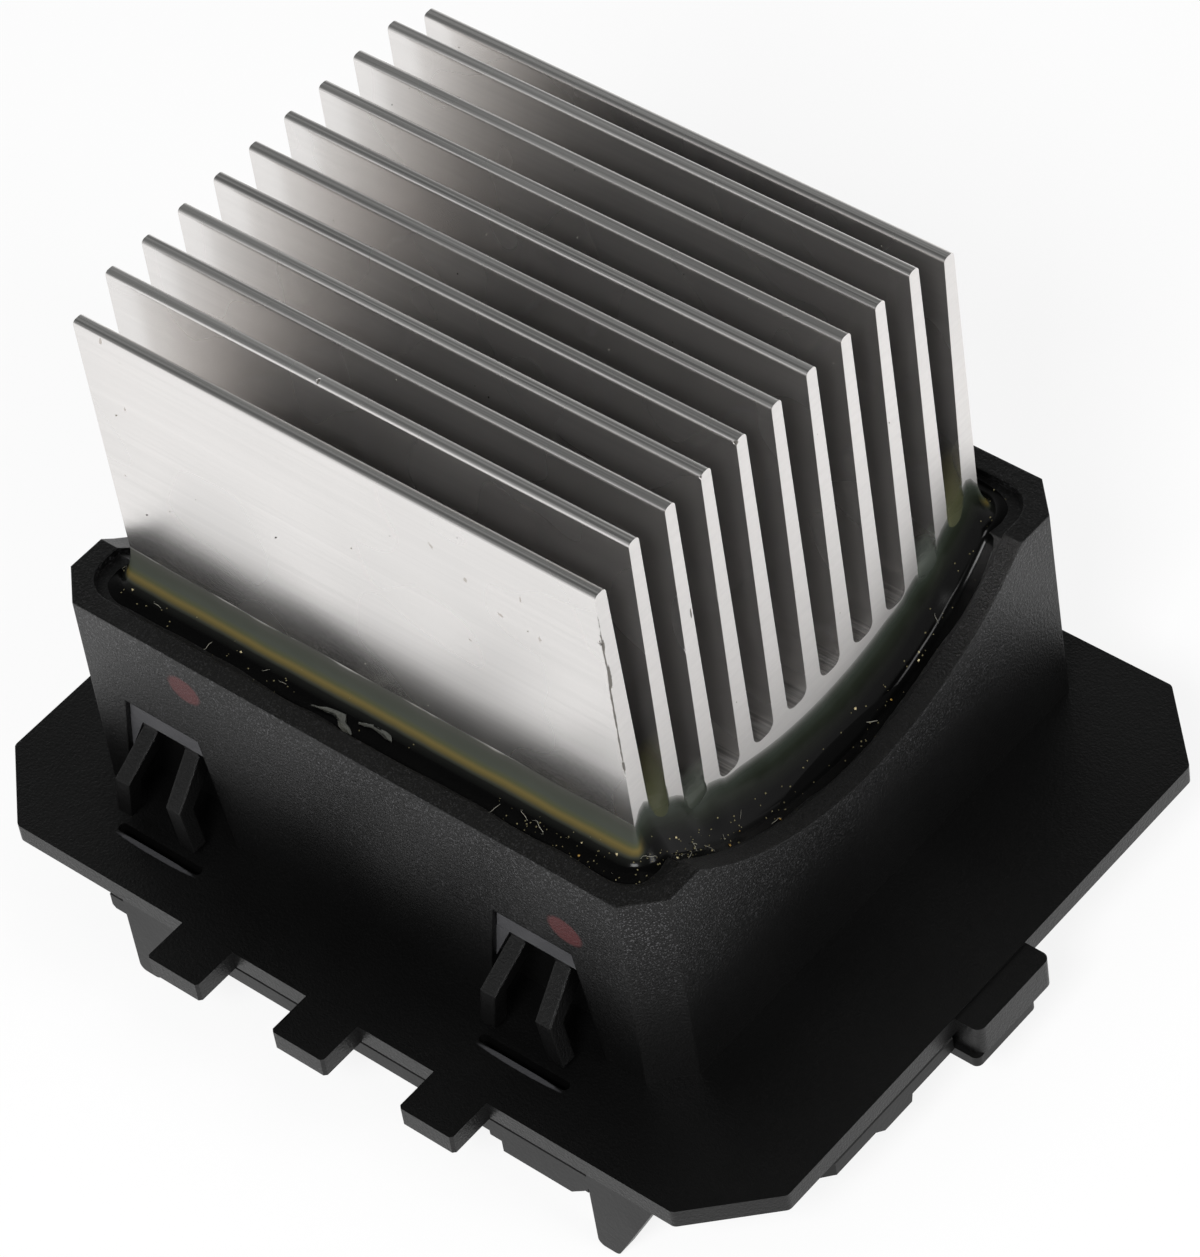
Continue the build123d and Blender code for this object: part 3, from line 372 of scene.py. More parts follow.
# Plain finishes: two tones, pattern in millimetres, least and most roughness, then metallic and stretch.
finishes = {
    "extruded_aluminium": aluminium,
    "black_nylon": cover_nylon,
    "clear_sealant": silicone,
    # glass-fibre laminate under green solder mask: satin, with a faint weave
    "green_laminate": make_finish("solder_mask_laminate", "0f4a24", "0b3d1e", 0.8, 0.25, 0.34),
    # hardened strip, rolled along its length
    "spring_steel": make_finish("rolled_spring_steel", "9a9a98", "868684", 0.4, 0.3, 0.4, 1.0, (0.1, 1, 1)),
    # zinc-plated screws: slightly cloudy bright plate
    "plated_steel": make_finish("zinc_plated_steel", "c4c3bc", "aeada8", 0.6, 0.28, 0.38, 1.0),
    "black_rubber": make_finish("moulded_rubber", "101010", "191919", 0.3, 0.6, 0.75),
    # deep-drawn can: lines run up its side
    "can_aluminium": make_finish(
        "drawn_aluminium_can", "c9cacb", "b8b9ba", 0.3, 0.25, 0.36, 1.0, (1, 1, 0.1)),
    # copper-nickel strip
    "shunt_alloy": make_finish(
        "rolled_resistance_strip", "b07f5e", "9a6d50", 0.3, 0.3, 0.42, 1.0, (1, 0.1, 1)),
    # transfer-moulded epoxy with a fine eroded grain
    "moulded_epoxy": make_finish("moulded_epoxy", "131314", "1c1c1d", 0.25, 0.5, 0.65),
    "dark_ceramic": make_finish("glazed_resistor_ceramic", "17181a", "202123", 0.3, 0.3, 0.4),
    "tan_ceramic": make_finish("sintered_ceramic", "9a7a52", "8a6c48", 0.3, 0.4, 0.5),
    # hot-tinned copper: pale, softly rippled
    "tinned_copper": make_finish("hot_tinned_copper", "cfccc4", "bdb9b0", 0.5, 0.26, 0.36, 1.0),
    "grey_silicone": make_finish("filled_silicone_pad", "7d878b", "70797d", 0.3, 0.6, 0.7),
    "tinned_brass": make_finish("tin_plated_brass", "cdc7b8", "bcb5a4", 0.4, 0.26, 0.34, 1.0, (1, 1, 0.1)),
}
slot_of = {part["node"]: part["material_slot"] for part in frame["record"]["subparts"]}
for name, piece in nodes.items():
    piece.data.materials.clear()
    piece.data.materials.append(housing_nylon if name == "housing" else finishes[slot_of[name]])


def settle(name, mesh, material):
    """Links a finished mesh as a piece of the one body, with its finish."""
    mesh.materials.clear()
    mesh.materials.append(material)
    piece = bpy.data.objects.new(name, mesh)
    bpy.context.scene.collection.objects.link(piece)
    for face in mesh.polygons:
        face.use_smooth = True
    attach(piece, "root")
    return piece


def face_outwards(mesh, merge_m=0.0):
    """Closes the seams of a mesh that we made and turns its faces outwards."""
    shell = bmesh.new()
    shell.from_mesh(mesh)
    if merge_m:
        bmesh.ops.remove_doubles(shell, verts=shell.verts, dist=merge_m)
    bmesh.ops.recalc_face_normals(shell, faces=shell.faces)
    shell.to_mesh(mesh)
    shell.free()


def store(mesh, label, values):
    """Gives a mesh one number a corner, which a material or a scatter reads by its label."""
    layer = mesh.attributes.new(label, "FLOAT", "POINT")
    layer.data.foreach_set("value", values)


def wobble(x, y, z, size_mm, swing):
    """Smooth repeatable unevenness at a point, in millimetres."""
    return noise.noise(Vector((x, y, z)) / size_mm) * swing


def clamp(value):
    return min(max(value, 0.0), 1.0)


def blend(first, second, share):
    return first * (1 - share) + second * share


# SEALANT: cast silicone round the heat sink. Lengths in millimetres from the datum: the pocket that it
# fills, the step of the rim, the concave edge of the end walls, and the slots of the sink.
POCKET_X = 33.45
POCKET_Y = 27.85
POCKET_R = 3.05
LAND_Z = 24.1
ARC_R = 36.4
ARC_LOW = 15.6
CONTACT_Z = 28.7
FLOOR_Z = 16.35
SLOT_FLOOR = 23.4
# Height of the skin above its edge, by the share of the way out from the metal: at the ends and the sides.
WELL = [(0.0, 6.2), (0.05, 4.9), (0.12, 3.7), (0.22, 2.7), (0.4, 1.7), (0.6, 0.95), (0.79, 0.3), (1.0, -0.5)]
BEAD = [(0.0, 4.55), (0.06, 3.7), (0.2, 2.65), (0.4, 1.7), (0.62, 1.0), (0.8, 0.6), (1.0, 0.32)]
# Shares of the way from the metal to the pocket, and of the film beyond it, where the skin has points.
STATIONS = (0.0, 0.03, 0.07, 0.12, 0.18, 0.26, 0.36, 0.48, 0.6, 0.72, 0.82, 0.91, 1.0)
FILM = (0.3, 0.6, 0.85, 1.0)
FILM_REACH = 1.55
# Over how far the sides turn into the ends, how far the gel stands over the land, how deep its edge sits
# in the metal, and over what share of its fall it clears.
END_BLEND = 1.2
CORNER_BLEND = 1.6
RIM_COVER = 0.55
SUNK = 0.05
CLEAR_FALL = 0.22
# The gel's climb at the corners of the sink, its dips between the fins, and its limits on the end walls.
CORNER_CLIMB = 1.9
SLOT_DIP = 0.5
SLOT_DIP_HALF = 0.36
LAND_DROP = 0.8
END_LIMIT = 4.0
# Grit on the skin: its share on the sides, what the ends add, and the heap in the front corner.
GRIT_SIDE = 0.35
GRIT_END = 0.35
GRIT_HEAP = 2.2
HEAP_X = 32
HEAP_Y = -24
HEAP_REACH = 16


def along(table, t):
    """Value at t of a table of points, eased between them."""
    for (a, va), (b, vb) in zip(table, table[1:]):
        if t <= b:
            return va + (vb - va) * (t - a) / (b - a)
    return table[-1][1]


def arc_at(y):
    """Height of the concave edge of an end wall."""
    return ARC_LOW + ARC_R - math.sqrt(ARC_R ** 2 - min(abs(y), ARC_R - 1) ** 2)


def pocket_path(step):
    """Points round the pocket with the outward direction at each."""
    path = []
    flat_x = POCKET_X - POCKET_R
    flat_y = POCKET_Y - POCKET_R
    for sx, sy, start in ((1, -1, -90), (1, 1, 0), (-1, 1, 90), (-1, -1, 180)):
        for k in range(13):
            a = math.radians(start + 90 * k / 12)
            n = (math.cos(a), math.sin(a))
            path.append((sx * flat_x + POCKET_R * n[0], sy * flat_y + POCKET_R * n[1], n))
    full = []
    for i, (x, y, n) in enumerate(path):
        full.append((x, y, n))
        x2, y2 = path[(i + 1) % len(path)][:2]
        gap = math.hypot(x2 - x, y2 - y)
        if gap > step * 1.5:
            count = int(gap / step)
            for k in range(1, count):
                t = k / count
                full.append((x + (x2 - x) * t, y + (y2 - y) * t, n))
    return full


def make_sealant():
    """Ring of silicone: a meniscus up the metal, a thin film over the step of the rim."""
    rows = []
    well_fall = WELL[0][1] - WELL[-1][1]
    for x, y, n in pocket_path(0.7):
        ax = min(max(x, -SINK_X), SINK_X)
        ay = min(max(y, -SINK_Y), SINK_Y)
        end_share = clamp((abs(x) - SINK_X) / END_BLEND)
        end_share *= clamp((SINK_Y + END_BLEND - abs(y)) / CORNER_BLEND)
        low = min(arc_at(y), LAND_Z + RIM_COVER)
        side_z = CONTACT_Z + wobble(x, y, 0, 9, 0.35)
        end_contact = min(low + WELL[0][1], side_z + CORNER_CLIMB * max(SINK_Y - abs(y), 0.0))
        if end_contact > SLOT_FLOOR and abs(y) < 20:
            between = abs((y / FIN_PITCH) % 1.0 - 0.5)
            dip = clamp((SLOT_DIP_HALF - between) / 0.2)
            end_contact -= SLOT_DIP * dip * max(end_contact - SLOT_FLOOR, 0.0)
        contact = blend(side_z, end_contact + wobble(x, y, 3, 6, 0.3), end_share)
        land = blend(LAND_Z, min(low - LAND_DROP, LAND_Z), end_share)
        near_corner = max(0.0, 1 - math.hypot(x - HEAP_X, y - HEAP_Y) / HEAP_REACH)
        grit = GRIT_SIDE + GRIT_END * end_share + GRIT_HEAP * near_corner
        grit *= 0.6 + 0.8 * abs(wobble(x, y, 2, 4, 1.0))
        row = [(ax - n[0] * SUNK, ay - n[1] * SUNK, FLOOR_Z, 0.0, 1 - end_share, 1.0, 0.0)]
        for t in STATIONS:
            side_h = LAND_Z + along(BEAD, t) * (side_z - LAND_Z) / BEAD[0][1]
            end_h = min(low + along(WELL, t) * (end_contact - low) / WELL[0][1], side_h + END_LIMIT)
            h = contact if t == 0 else blend(side_h, end_h, end_share)
            h += wobble(x, y, h, 6.0, 0.16) * math.sin(math.pi * min(t * 1.3, 1.0))
            inset = SUNK * (1 - t)
            px = ax + (x - ax) * t - n[0] * inset
            py = ay + (y - ay) * t - n[1] * inset
            fallen = 0.8 * (WELL[0][1] - along(WELL, t)) / well_fall + 0.2 * t
            deep = blend(t, fallen, end_share)
            cover = 1 - end_share * (1 - min(fallen / CLEAR_FALL, 1.0)) ** 0.8
            row.append((px, py, h, deep, 1 - end_share, cover, grit * clamp(t * 1.6 - 0.6)))
        reach = FILM_REACH + wobble(x, y, 7, 6, 0.5)
        top = row[-1][2]
        for t in FILM:
            thin = (1 - t) ** 1.5
            h = land + (top - land) * thin - (0.04 if t == 1.0 else 0.0)
            px = x + n[0] * reach * t
            py = y + n[1] * reach * t
            row.append((px, py, h, 1.0, 1 - end_share, 1.0, grit * (1 - 0.5 * t)))
        row.append((x, y, land - 0.1, 1.0, 1 - end_share, 1.0, 0.0))
        row.append((x, y, FLOOR_Z, 1.0, 1 - end_share, 1.0, 0.0))
        rows.append(row)
    mesh = bpy.data.meshes.new("sealant_cast")
    wide = len(rows[0])
    points = [spot_at(*p[:3]) for row in rows for p in row]
    faces = []
    for i in range(len(rows)):
        j = (i + 1) % len(rows)
        for k in range(wide):
            m = (k + 1) % wide
            faces.append((i * wide + k, i * wide + m, j * wide + m, j * wide + k))
    mesh.from_pydata(points, [], faces)
    for index, label in enumerate(("depth", "amber", "cover", "grit"), 3):
        store(mesh, label, [p[index] for row in rows for p in row])
    face_outwards(mesh, 0.000002)
    mesh.update()
    return mesh


sealant_cast = settle("sealant_cast", make_sealant(), silicone)
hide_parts("sealant")

# Half the thickness of an inner fin and the whole of an outer one at their roots, and what each loses.
FIN_ROOT = 1.05
FIN_TAPER = 0.37
OUTER_ROOT = 2.35
OUTER_TAPER = 0.9


def slot_sides(slot, z):
    """The two walls, in y, of a slot (1 is the front one) at height z."""
    rise = clamp((z - SLOT_FLOOR) / (FIN_TOP - SLOT_FLOOR))
    low = (slot - 6) * FIN_PITCH + FIN_ROOT - FIN_TAPER * rise
    high = (slot - 5) * FIN_PITCH - FIN_ROOT + FIN_TAPER * rise
    if slot == 1:
        low = -SINK_Y + OUTER_ROOT - OUTER_TAPER * rise
    if slot == 10:
        high = SINK_Y - OUTER_ROOT + OUTER_TAPER * rise
    return low, high


def make_gel(name, slot, bottom, top, back_mm, swell, deep_low, deep_high, tint, fade):
    """Silicone drawn up between two fins at the end of a slot: swollen in front, thinning upwards."""
    rows = []
    levels = 14
    for k in range(levels + 1):
        u = k / levels
        z = bottom + (top - bottom) * u
        low, high = slot_sides(slot, z)
        low -= SUNK
        high += SUNK
        front = SINK_X - 0.12 + swell * math.sin(math.pi * min(u * 1.15 + 0.1, 1.0)) - 0.9 * u ** 3
        back_x = front - back_mm * (1 - u) ** 0.7 - 0.15
        deep = deep_low + (deep_high - deep_low) * u
        clear = min((1 - u) / fade, 1.0)
        row = []
        for m in range(9):
            v = m / 8
            y = low + (high - low) * v
            hollow = (2 * v - 1) ** 2
            x = front + 0.25 * swell * (1 - hollow) - 0.1 * hollow
            row.append((x + wobble(x, y, z, 1.6, 0.07), y, z, deep, clear))
        for m in range(9):
            v = 1 - m / 8
            row.append((back_x, low + (high - low) * v, z, deep, clear))
        rows.append(row)
    wide = len(rows[0])
    points = [spot_at(*p[:3]) for row in rows for p in row]
    faces = [tuple(reversed(range(wide))), tuple(levels * wide + m for m in range(wide))]
    for k in range(levels):
        for m in range(wide):
            n = (m + 1) % wide
            faces.append((k * wide + m, k * wide + n, (k + 1) * wide + n, (k + 1) * wide + m))
    mesh = bpy.data.meshes.new(name)
    mesh.from_pydata(points, [], faces)
    store(mesh, "depth", [p[3] for row in rows for p in row])
    store(mesh, "amber", [tint] * len(points))
    store(mesh, "cover", [p[4] for row in rows for p in row])
    face_outwards(mesh)
    return settle(name, mesh, silicone)


make_gel("gel_slot_1", 1, bottom=24.2, top=35.4, back_mm=5.0, swell=0.35,
         deep_low=0.3, deep_high=0.42, tint=1.0, fade=0.75)
make_gel("gel_slot_2", 2, bottom=23.3, top=27.2, back_mm=1.6, swell=0.3,
         deep_low=0.2, deep_high=0.1, tint=0.0, fade=0.5)
make_gel("gel_slot_9", 9, bottom=23.3, top=27.4, back_mm=1.6, swell=0.3,
         deep_low=0.18, deep_high=0.08, tint=0.0, fade=0.5)
make_gel("gel_slot_10", 10, bottom=24.5, top=34.4, back_mm=5.0, swell=0.35,
         deep_low=0.3, deep_high=0.42, tint=1.0, fade=0.75)

# LATCH WINDOWS: webs and faces of the shallow recess beside the latches, grey with painted reflection, and
# the skirt below the left slot
LATCHES = (-24.85, 22.35)


def plate(name, outline, y_front, y_back, material):
    """A flat plate facing the front: outline in x and z, between two y, all in millimetres."""
    mesh = bpy.data.meshes.new(name)
    count = len(outline)
    points = [spot_at(x, y, z) for y in (y_front, y_back) for x, z in outline]
    faces = [tuple(range(count)), tuple(reversed(range(count, 2 * count)))]
    for i in range(count):
        j = (i + 1) % count
        faces.append((i, i + count, j + count, j))
    mesh.from_pydata(points, [], faces)
    face_outwards(mesh)
    piece = settle(name, mesh, material)
    for face in mesh.polygons:
        face.use_smooth = False
    return piece


for number, middle in enumerate(LATCHES, 1):
    plate("latch_web_%d" % number, [(middle + u, z) for u, z in ((-5.7, 10.9), (-3.6, 10.9), (-6.4, 5.2))],
          -31.7, -30.9, reflection_painted_nylon)
    plate("latch_face_%d" % number,
          [(middle + u, z) for u, z in ((-4.72, 13.6), (4.72, 13.6), (5.2, 10.8), (-5.2, 10.8))],
          -31.74, -31.5, reflection_painted_nylon)
plate("cover_skirt", [(-30.6, -2.3), (-25.7, -2.3), (-25.7, -4.3), (-30.6, -4.3)], -39.0, -32.9,
      cover_nylon)

# A sliver of metal torn up along the end edge of the first fin
plate("fin_sliver", [(31.12, 53.0), (31.45, 52.7), (31.56, 50.6), (31.6, 49.0), (31.52, 47.2), (31.48, 45.6),
                     (31.3, 46.9), (31.2, 48.4), (31.34, 49.7), (31.08, 51.4)],
      -25.92, -25.66, aluminium)

# GRIT AND HAIRS: dust caught on the silicone while it cured. ANY_WAY is one whole turn, in radians.
ANY_WAY = 6.28


def scatter_tree(name):
    """Tree that spreads turned and scaled copies of a shape over the base, thicker where its grit is high."""
    tree = bpy.data.node_groups.new(name, "GeometryNodeTree")
    face = tree.interface
    face.new_socket("Geometry", in_out="OUTPUT", socket_type="NodeSocketGeometry")
    face.new_socket("Geometry", in_out="INPUT", socket_type="NodeSocketGeometry")
    keys = {}
    for label, kind in (("Shape", "NodeSocketObject"), ("Per square metre", "NodeSocketFloat"),
                        ("Smallest", "NodeSocketFloat"), ("Largest", "NodeSocketFloat"),
                        ("Tumble", "NodeSocketFloat"), ("Seed", "NodeSocketInt"),
                        ("Finish", "NodeSocketMaterial")):
        keys[label] = face.new_socket(label, in_out="INPUT", socket_type=kind).identifier
    given = put(tree, "NodeGroupInput").outputs
    share = put(tree, "GeometryNodeInputNamedAttribute", {"Name": "grit"}, data_type="FLOAT")
    thick = put(tree, "ShaderNodeMath", {
        0: share.outputs[0], 1: given["Per square metre"]}, operation="MULTIPLY")
    spread = put(tree, "GeometryNodeDistributePointsOnFaces", {
        "Mesh": given["Geometry"], "Density": thick.outputs[0], "Seed": given["Seed"]})
    tumble = put(tree, "ShaderNodeCombineXYZ", {0: given["Tumble"], 1: given["Tumble"], 2: ANY_WAY})
    spin = put(tree, "FunctionNodeRandomValue", {
        1: tumble.outputs[0], "Seed": given["Seed"]}, data_type="FLOAT_VECTOR")
    turned = put(tree, "FunctionNodeRotateRotation", {
        0: spread.outputs["Rotation"], 1: spin.outputs[0]}, rotation_space="LOCAL")
    size = put(tree, "FunctionNodeRandomValue", {
        2: given["Smallest"], 3: given["Largest"], "Seed": given["Seed"]}, data_type="FLOAT")
    shape = put(tree, "GeometryNodeObjectInfo", {"Object": given["Shape"]})
    copies = put(tree, "GeometryNodeInstanceOnPoints", {
        "Points": spread.outputs["Points"], "Instance": shape.outputs["Geometry"],
        "Rotation": turned.outputs[0], "Scale": size.outputs[1]})
    solid = put(tree, "GeometryNodeRealizeInstances", {0: copies.outputs[0]})
    finished = put(tree, "GeometryNodeSetMaterial", {
        "Geometry": solid.outputs[0], "Material": given["Finish"]})
    put(tree, "NodeGroupOutput", {0: finished.outputs[0]})
    return tree, keys


def chip_mesh():
    """A grain of grit one unit across, twelve triangles."""
    mesh = bpy.data.meshes.new("grain")
    corners = [(-0.5, -0.4, -0.3), (0.4, -0.5, -0.25), (0.5, 0.3, -0.3), (-0.3, 0.5, -0.2),
               (-0.35, -0.3, 0.3), (0.3, -0.25, 0.4), (0.2, 0.35, 0.25), (-0.4, 0.25, 0.35)]
    mesh.from_pydata(corners, [], [
        (3, 2, 1, 0), (4, 5, 6, 7), (0, 1, 5, 4), (1, 2, 6, 5), (2, 3, 7, 6), (3, 0, 4, 7)])
    return mesh


def hair_mesh(bend, curl):
    """A fine hair one unit long, three-sided."""
    mesh = bpy.data.meshes.new("hair")
    points = []
    steps = 8
    for k in range(steps + 1):
        u = k / steps
        a = bend * (u - 0.5) + curl * math.sin(u * 5)
        x = (u - 0.5) * math.cos(a * 0.6)
        y = 0.5 * math.sin(a) * (u - 0.2)
        thick = 0.017 * (1 - 0.5 * abs(2 * u - 1))
        for m in range(3):
            t = math.radians(120 * m + 20)
            points.append((x, y + thick * math.cos(t), 0.03 + 0.05 * math.sin(u * 4) + thick * math.sin(t)))
    faces = []
    for k in range(steps):
        for m in range(3):
            n = (m + 1) % 3
            faces.append((k * 3 + m, k * 3 + n, k * 3 + 3 + n, k * 3 + 3 + m))
    mesh.from_pydata(points, [], faces)
    return mesh


def scatter(name, base, shape_mesh, per_square_metre, smallest_mm, largest_mm, tumble, seed,
            material):
    """Bakes one scatter over the base mesh to a plain piece."""
    shape = bpy.data.objects.new(name + "_shape", shape_mesh)
    holder = bpy.data.objects.new(name + "_holder", base)
    bpy.context.scene.collection.objects.link(holder)
    bpy.context.scene.collection.objects.link(shape)
    tree, keys = scatter_tree(name + "_tree")
    change = holder.modifiers.new("scatter", "NODES")
    change.node_group = tree
    for label, value in (("Shape", shape), ("Per square metre", per_square_metre),
                         ("Smallest", smallest_mm * MM), ("Largest", largest_mm * MM),
                         ("Tumble", tumble), ("Seed", seed), ("Finish", material)):
        change[keys[label]] = value
    seen = holder.evaluated_get(bpy.context.evaluated_depsgraph_get())
    mesh = bpy.data.meshes.new_from_object(seen)
    mesh.name = name
    holder.modifiers.remove(change)
    bpy.data.objects.remove(holder)
    bpy.data.objects.remove(shape)
    return settle(name, mesh, material)


grit_finish = make_finish("pale_sanding_grit", "c9bd97", "8d8059", 0.4, 0.5, 0.7)
dull_finish = make_finish("dull_sanding_grit", "7d7550", "3f3a26", 0.3, 0.5, 0.7)
amber_finish = make_finish("amber_crumb", "a8853c", "6d5220", 0.4, 0.3, 0.5)
dark_finish = make_finish("black_dust", "1c1b19", "33302a", 0.3, 0.6, 0.8)
lint_finish = make_finish("cotton_lint", "9a988c", "6f6d62", 0.4, 0.6, 0.8)

# Each scatter: base, shape, how many a square metre, smallest and largest in millimetres, tumble, seed.
dusty = sealant_cast.data.copy()
scatter("grit_fine", dusty, chip_mesh(), 1100000.0, 0.06, 0.2, ANY_WAY, 11, dull_finish)
scatter("grit_coarse", dusty, chip_mesh(), 50000.0, 0.18, 0.38, ANY_WAY, 5, grit_finish)
scatter("amber_crumbs", dusty, chip_mesh(), 34000.0, 0.15, 0.35, ANY_WAY, 23, amber_finish)
scatter("lint_short", dusty, hair_mesh(1.2, 0.3), 60000.0, 0.8, 1.7, 0.2, 3, lint_finish)
scatter("lint_curled", dusty, hair_mesh(3.2, 0.9), 34000.0, 1.2, 2.6, 0.25, 8, lint_finish)

# SPECKS on the sides of the fins, thicker towards their tops
metal = bmesh.new()
metal.from_mesh(nodes["heat_sink"].data)
bmesh.ops.remove_doubles(metal, verts=metal.verts, dist=0.000001)
metal.normal_update()
bmesh.ops.delete(metal, geom=[face for face in metal.faces if face.normal.z > 0.25], context="FACES_ONLY")
speck_layer = metal.verts.layers.float.new("grit")
for vert in metal.verts:
    rise = (nodes["heat_sink"].matrix_world @ vert.co - DATUM).z / MM
    vert[speck_layer] = clamp((rise - SLOT_FLOOR - 2) / (FIN_TOP - SLOT_FLOOR - 2))
fins = bpy.data.meshes.new("fins")
metal.to_mesh(fins)
metal.free()
scatter("specks_pale", fins, chip_mesh(), 9000.0, 0.07, 0.18, ANY_WAY, 17, lint_finish)
scatter("specks_dark", fins, chip_mesh(), 5000.0, 0.08, 0.2, ANY_WAY, 29, dark_finish)


def peeling(name, route, widths, lift, material):
    """A thin torn strip of film lying along a route of (x, y, z), its edges curled up."""
    points = []
    across = 6
    for i, (x, y, z) in enumerate(route):
        a = route[max(i - 1, 0)]
        b = route[min(i + 1, len(route) - 1)]
        span = math.hypot(b[0] - a[0], b[1] - a[1])
        side = (-(b[1] - a[1]) / span, (b[0] - a[0]) / span)
        for layer in (0, 1):
            for k in range(across + 1):
                v = 2 * k / across - 1
                half = widths[i] / 2 * (1 + wobble(x * 7 + v * 9, y * 7, z, 1.0, 1.3))
                up = lift * (v * v) * (0.6 + wobble(x * 3, y * 3 + v, z, 1.0, 0.8)) + 0.05 - 0.05 * layer
                points.append(spot_at(x + side[0] * v * half, y + side[1] * v * half, z + up))
    row = 2 * (across + 1)
    faces = []
    for i in range(len(route) - 1):
        for k in range(across):
            p = i * row + k
            faces.append((p, p + 1, p + row + 1, p + row))
            q = p + across + 1
            faces.append((q + 1, q, q + row, q + row + 1))
    mesh = bpy.data.meshes.new(name)
    mesh.from_pydata(points, [], faces)
    return settle(name, mesh, material)


peel_finish = make_finish("torn_silvery_film", "63645f", "30312d", 0.35, 0.2, 0.45, 0.3, (1, 1, 1), 0.00012)
LEFT_PEEL = [
    (-6.0, -28.9, 24.4), (-5.4, -28.7, 24.4), (-4.5, -28.5, 24.4), (-3.4, -28.4, 24.4),
    (-2.6, -28.55, 24.4), (-1.9, -28.85, 24.35), (-1.2, -29.15, 24.3), (-0.5, -29.5, 24.25),
]
RIGHT_PEEL = [
    (-0.7, -28.1, 24.5), (0.0, -27.85, 24.5), (0.8, -27.7, 24.5), (1.6, -27.75, 24.5),
    (2.3, -27.85, 24.45), (2.9, -27.95, 24.45), (3.4, -28.1, 24.4),
]
peeling("peel_left", LEFT_PEEL, (0.1, 0.3, 0.45, 0.6, 0.9, 1.0, 0.8, 0.2), 0.22, peel_finish)
peeling("peel_right", RIGHT_PEEL, (0.2, 0.55, 0.45, 0.7, 0.6, 0.5, 0.15), 0.2, peel_finish)

# CAMERA, fitted to the photograph: angles in degrees, distances in millimetres, the rest in pixels
AZIMUTH, ELEVATION, ROLL = 46.908, 46.538, -9.882
DISTANCE, EYE_RIGHT, EYE_UP = 575.021, 0.906, 9.894
PHOTO_WIDE, PHOTO_HIGH = 1200, 1257
FOCAL, CENTRE_X, CENTRE_Y = 5820.33, 595.555, 613.919
turn, lift, roll = (math.radians(a) for a in (AZIMUTH, ELEVATION, ROLL))
back = Vector((math.sin(turn) * math.cos(lift), -math.cos(turn) * math.cos(lift), math.sin(lift)))
level_right = Vector((math.cos(turn), math.sin(turn), 0.0))
level_up = back.cross(level_right)
right = level_right * math.cos(roll) + level_up * math.sin(roll)
up = level_up * math.cos(roll) - level_right * math.sin(roll)
eye = back * DISTANCE + right * EYE_RIGHT + up * EYE_UP
camera_data = bpy.data.cameras.new("camera")
camera = bpy.data.objects.new("camera", camera_data)
bpy.context.scene.collection.objects.link(camera)
turned = Matrix((right, up, back)).transposed().to_4x4()
camera.matrix_world = Matrix.Translation(spot_at(*eye)) @ turned
camera_data.sensor_width = 36.0
camera_data.lens = FOCAL * camera_data.sensor_width / PHOTO_HIGH
camera_data.shift_x = (PHOTO_WIDE / 2 - CENTRE_X) / PHOTO_HIGH
camera_data.shift_y = (CENTRE_Y - PHOTO_HIGH / 2) / PHOTO_HIGH
camera_data.clip_end = 10.0
bpy.context.scene.camera = camera

# FLOOR: white paper
floor_mesh = bpy.data.meshes.new("floor")
floor_mesh.from_pydata([(-3, -3, 0), (3, -3, 0), (3, 3, 0), (-3, 3, 0)], [], [(0, 1, 2, 3)])
floor = bpy.data.objects.new("floor", floor_mesh)
bpy.context.scene.collection.objects.link(floor)
paper, tree = new_material("white_paper")
path = put(tree, "ShaderNodeLightPath").outputs
seen = put(tree, "ShaderNodeMath", {0: path["Is Camera Ray"], 1: path["Is Glossy Ray"]}, operation="MAXIMUM")
seen = put(tree, "ShaderNodeMath", {0: seen.outputs[0], 1: path["Is Transmission Ray"]}, operation="MAXIMUM")
share = put(tree, "ShaderNodeMath", {0: seen.outputs[0], 1: 0.85}, operation="MULTIPLY")
dull = put(tree, "ShaderNodeBsdfDiffuse", {"Color": linear("f7f7f7")})
glow = put(tree, "ShaderNodeEmission", {"Color": (1, 1, 1, 1), "Strength": 1.0})
both = put(tree, "ShaderNodeMixShader", {0: share.outputs[0], 1: dull.outputs[0], 2: glow.outputs[0]})
put(tree, "ShaderNodeOutputMaterial", {"Surface": both.outputs[0]})
floor_mesh.materials.append(paper)

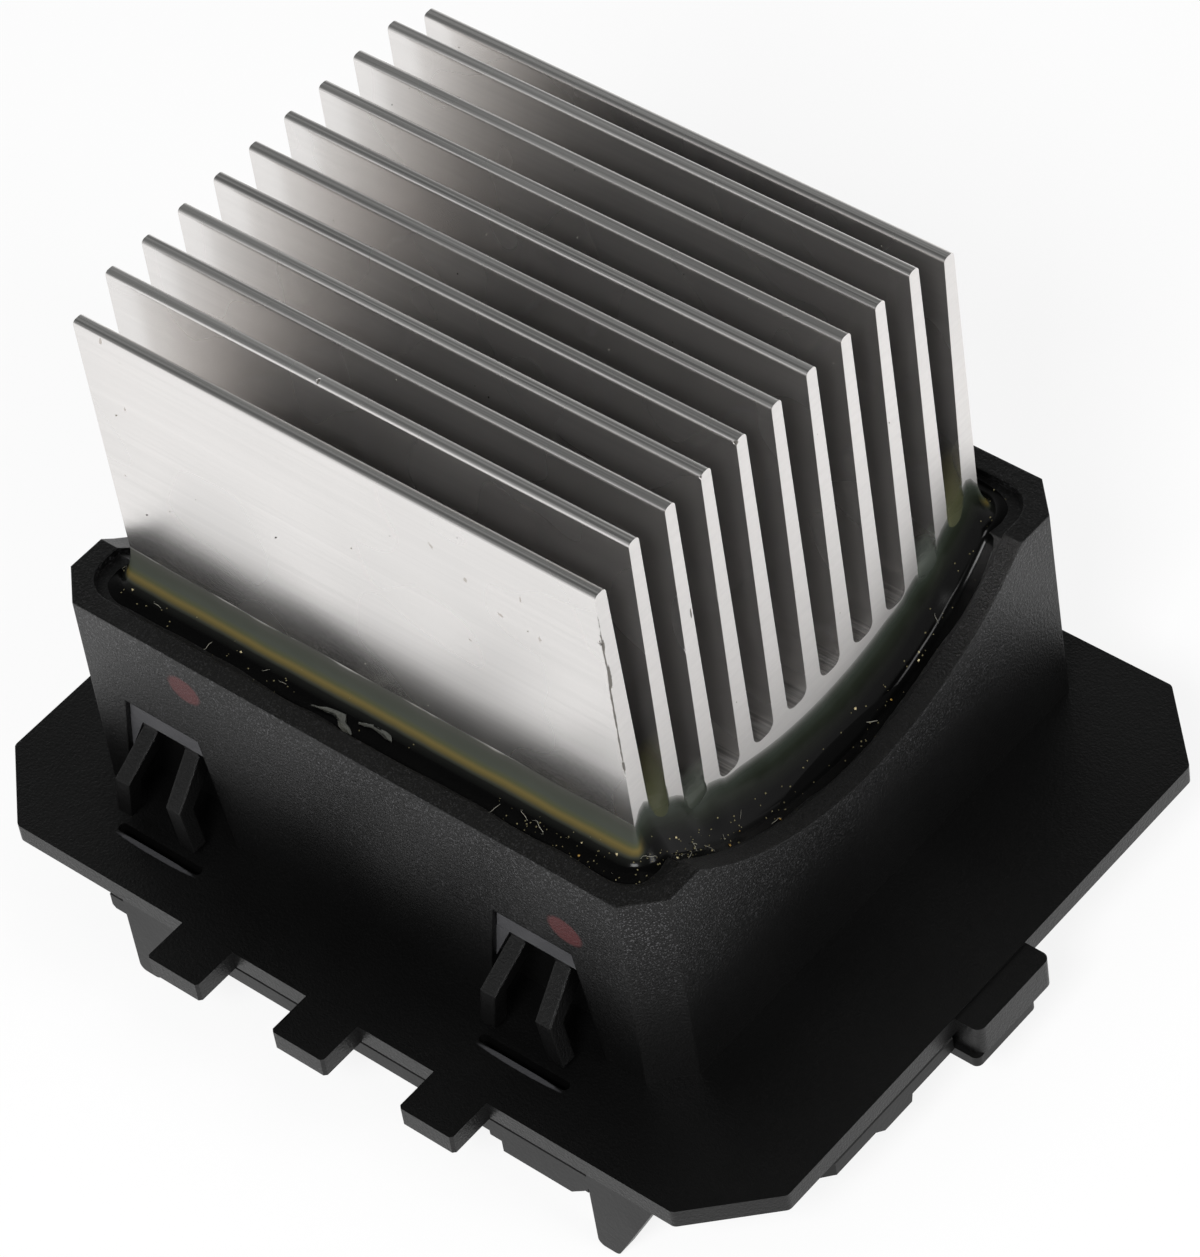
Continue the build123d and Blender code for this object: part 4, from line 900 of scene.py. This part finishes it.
# WORLD: white all round for the camera, and for reflections white low down and dim overhead
world = bpy.data.worlds.new("studio")
bpy.context.scene.world = world
world.use_nodes = True
tree = world.node_tree
tree.nodes.clear()
path = put(tree, "ShaderNodeLightPath").outputs
place = put(tree, "ShaderNodeTexCoord").outputs
rise = put(tree, "ShaderNodeSeparateXYZ", {0: place["Generated"]})
dome = put(tree, "ShaderNodeValToRGB", {"Fac": rise.outputs["Z"]})
dome.color_ramp.elements[0].position = 0.05
dome.color_ramp.elements[0].color = (1, 1, 1, 1)
dome.color_ramp.elements[1].position = 1.0
dome.color_ramp.elements[1].color = (0.03, 0.03, 0.03, 1)
dome.color_ramp.elements.new(0.3).color = (0.42, 0.42, 0.42, 1)
dome.color_ramp.elements.new(0.6).color = (0.21, 0.215, 0.213, 1)
dome.color_ramp.elements.new(0.8).color = (0.12, 0.124, 0.122, 1)
shine = put(tree, "ShaderNodeMath", {
    0: path["Is Glossy Ray"], 1: path["Is Transmission Ray"]}, operation="MAXIMUM")
ambient = put(tree, "ShaderNodeMix", {
    "Factor": shine.outputs[0], 6: (0.36, 0.36, 0.365, 1), 7: dome.outputs[0]}, data_type="RGBA")
all_rays = put(tree, "ShaderNodeMix", {
    "Factor": path["Is Camera Ray"], 6: ambient.outputs[2], 7: (1, 1, 1, 1)}, data_type="RGBA")
sky = put(tree, "ShaderNodeBackground", {"Color": all_rays.outputs[2], "Strength": 1.0})
put(tree, "ShaderNodeOutputWorld", {"Surface": sky.outputs[0]})


def softbox(name, place, aim, width, height, watts):
    """A rectangular soft lamp at place, facing aim, both in metres."""
    lamp = bpy.data.lights.new(name, "AREA")
    lamp.shape = "RECTANGLE"
    lamp.size = width
    lamp.size_y = height
    lamp.energy = watts
    box = bpy.data.objects.new(name, lamp)
    bpy.context.scene.collection.objects.link(box)
    box.location = place
    box.rotation_euler = (Vector(aim) - Vector(place)).to_track_quat("-Z", "Y").to_euler()
    return box


softbox("key_softbox", (0.33, -0.68, 0.79), (0, 0, 0.03), width=0.3, height=0.3, watts=9.0)
softbox("side_softbox", (0.95, 0.04, 0.46), (0, 0, 0.03), width=0.3, height=0.3, watts=4.0)

bpy.context.scene.view_settings.view_transform = "Standard"
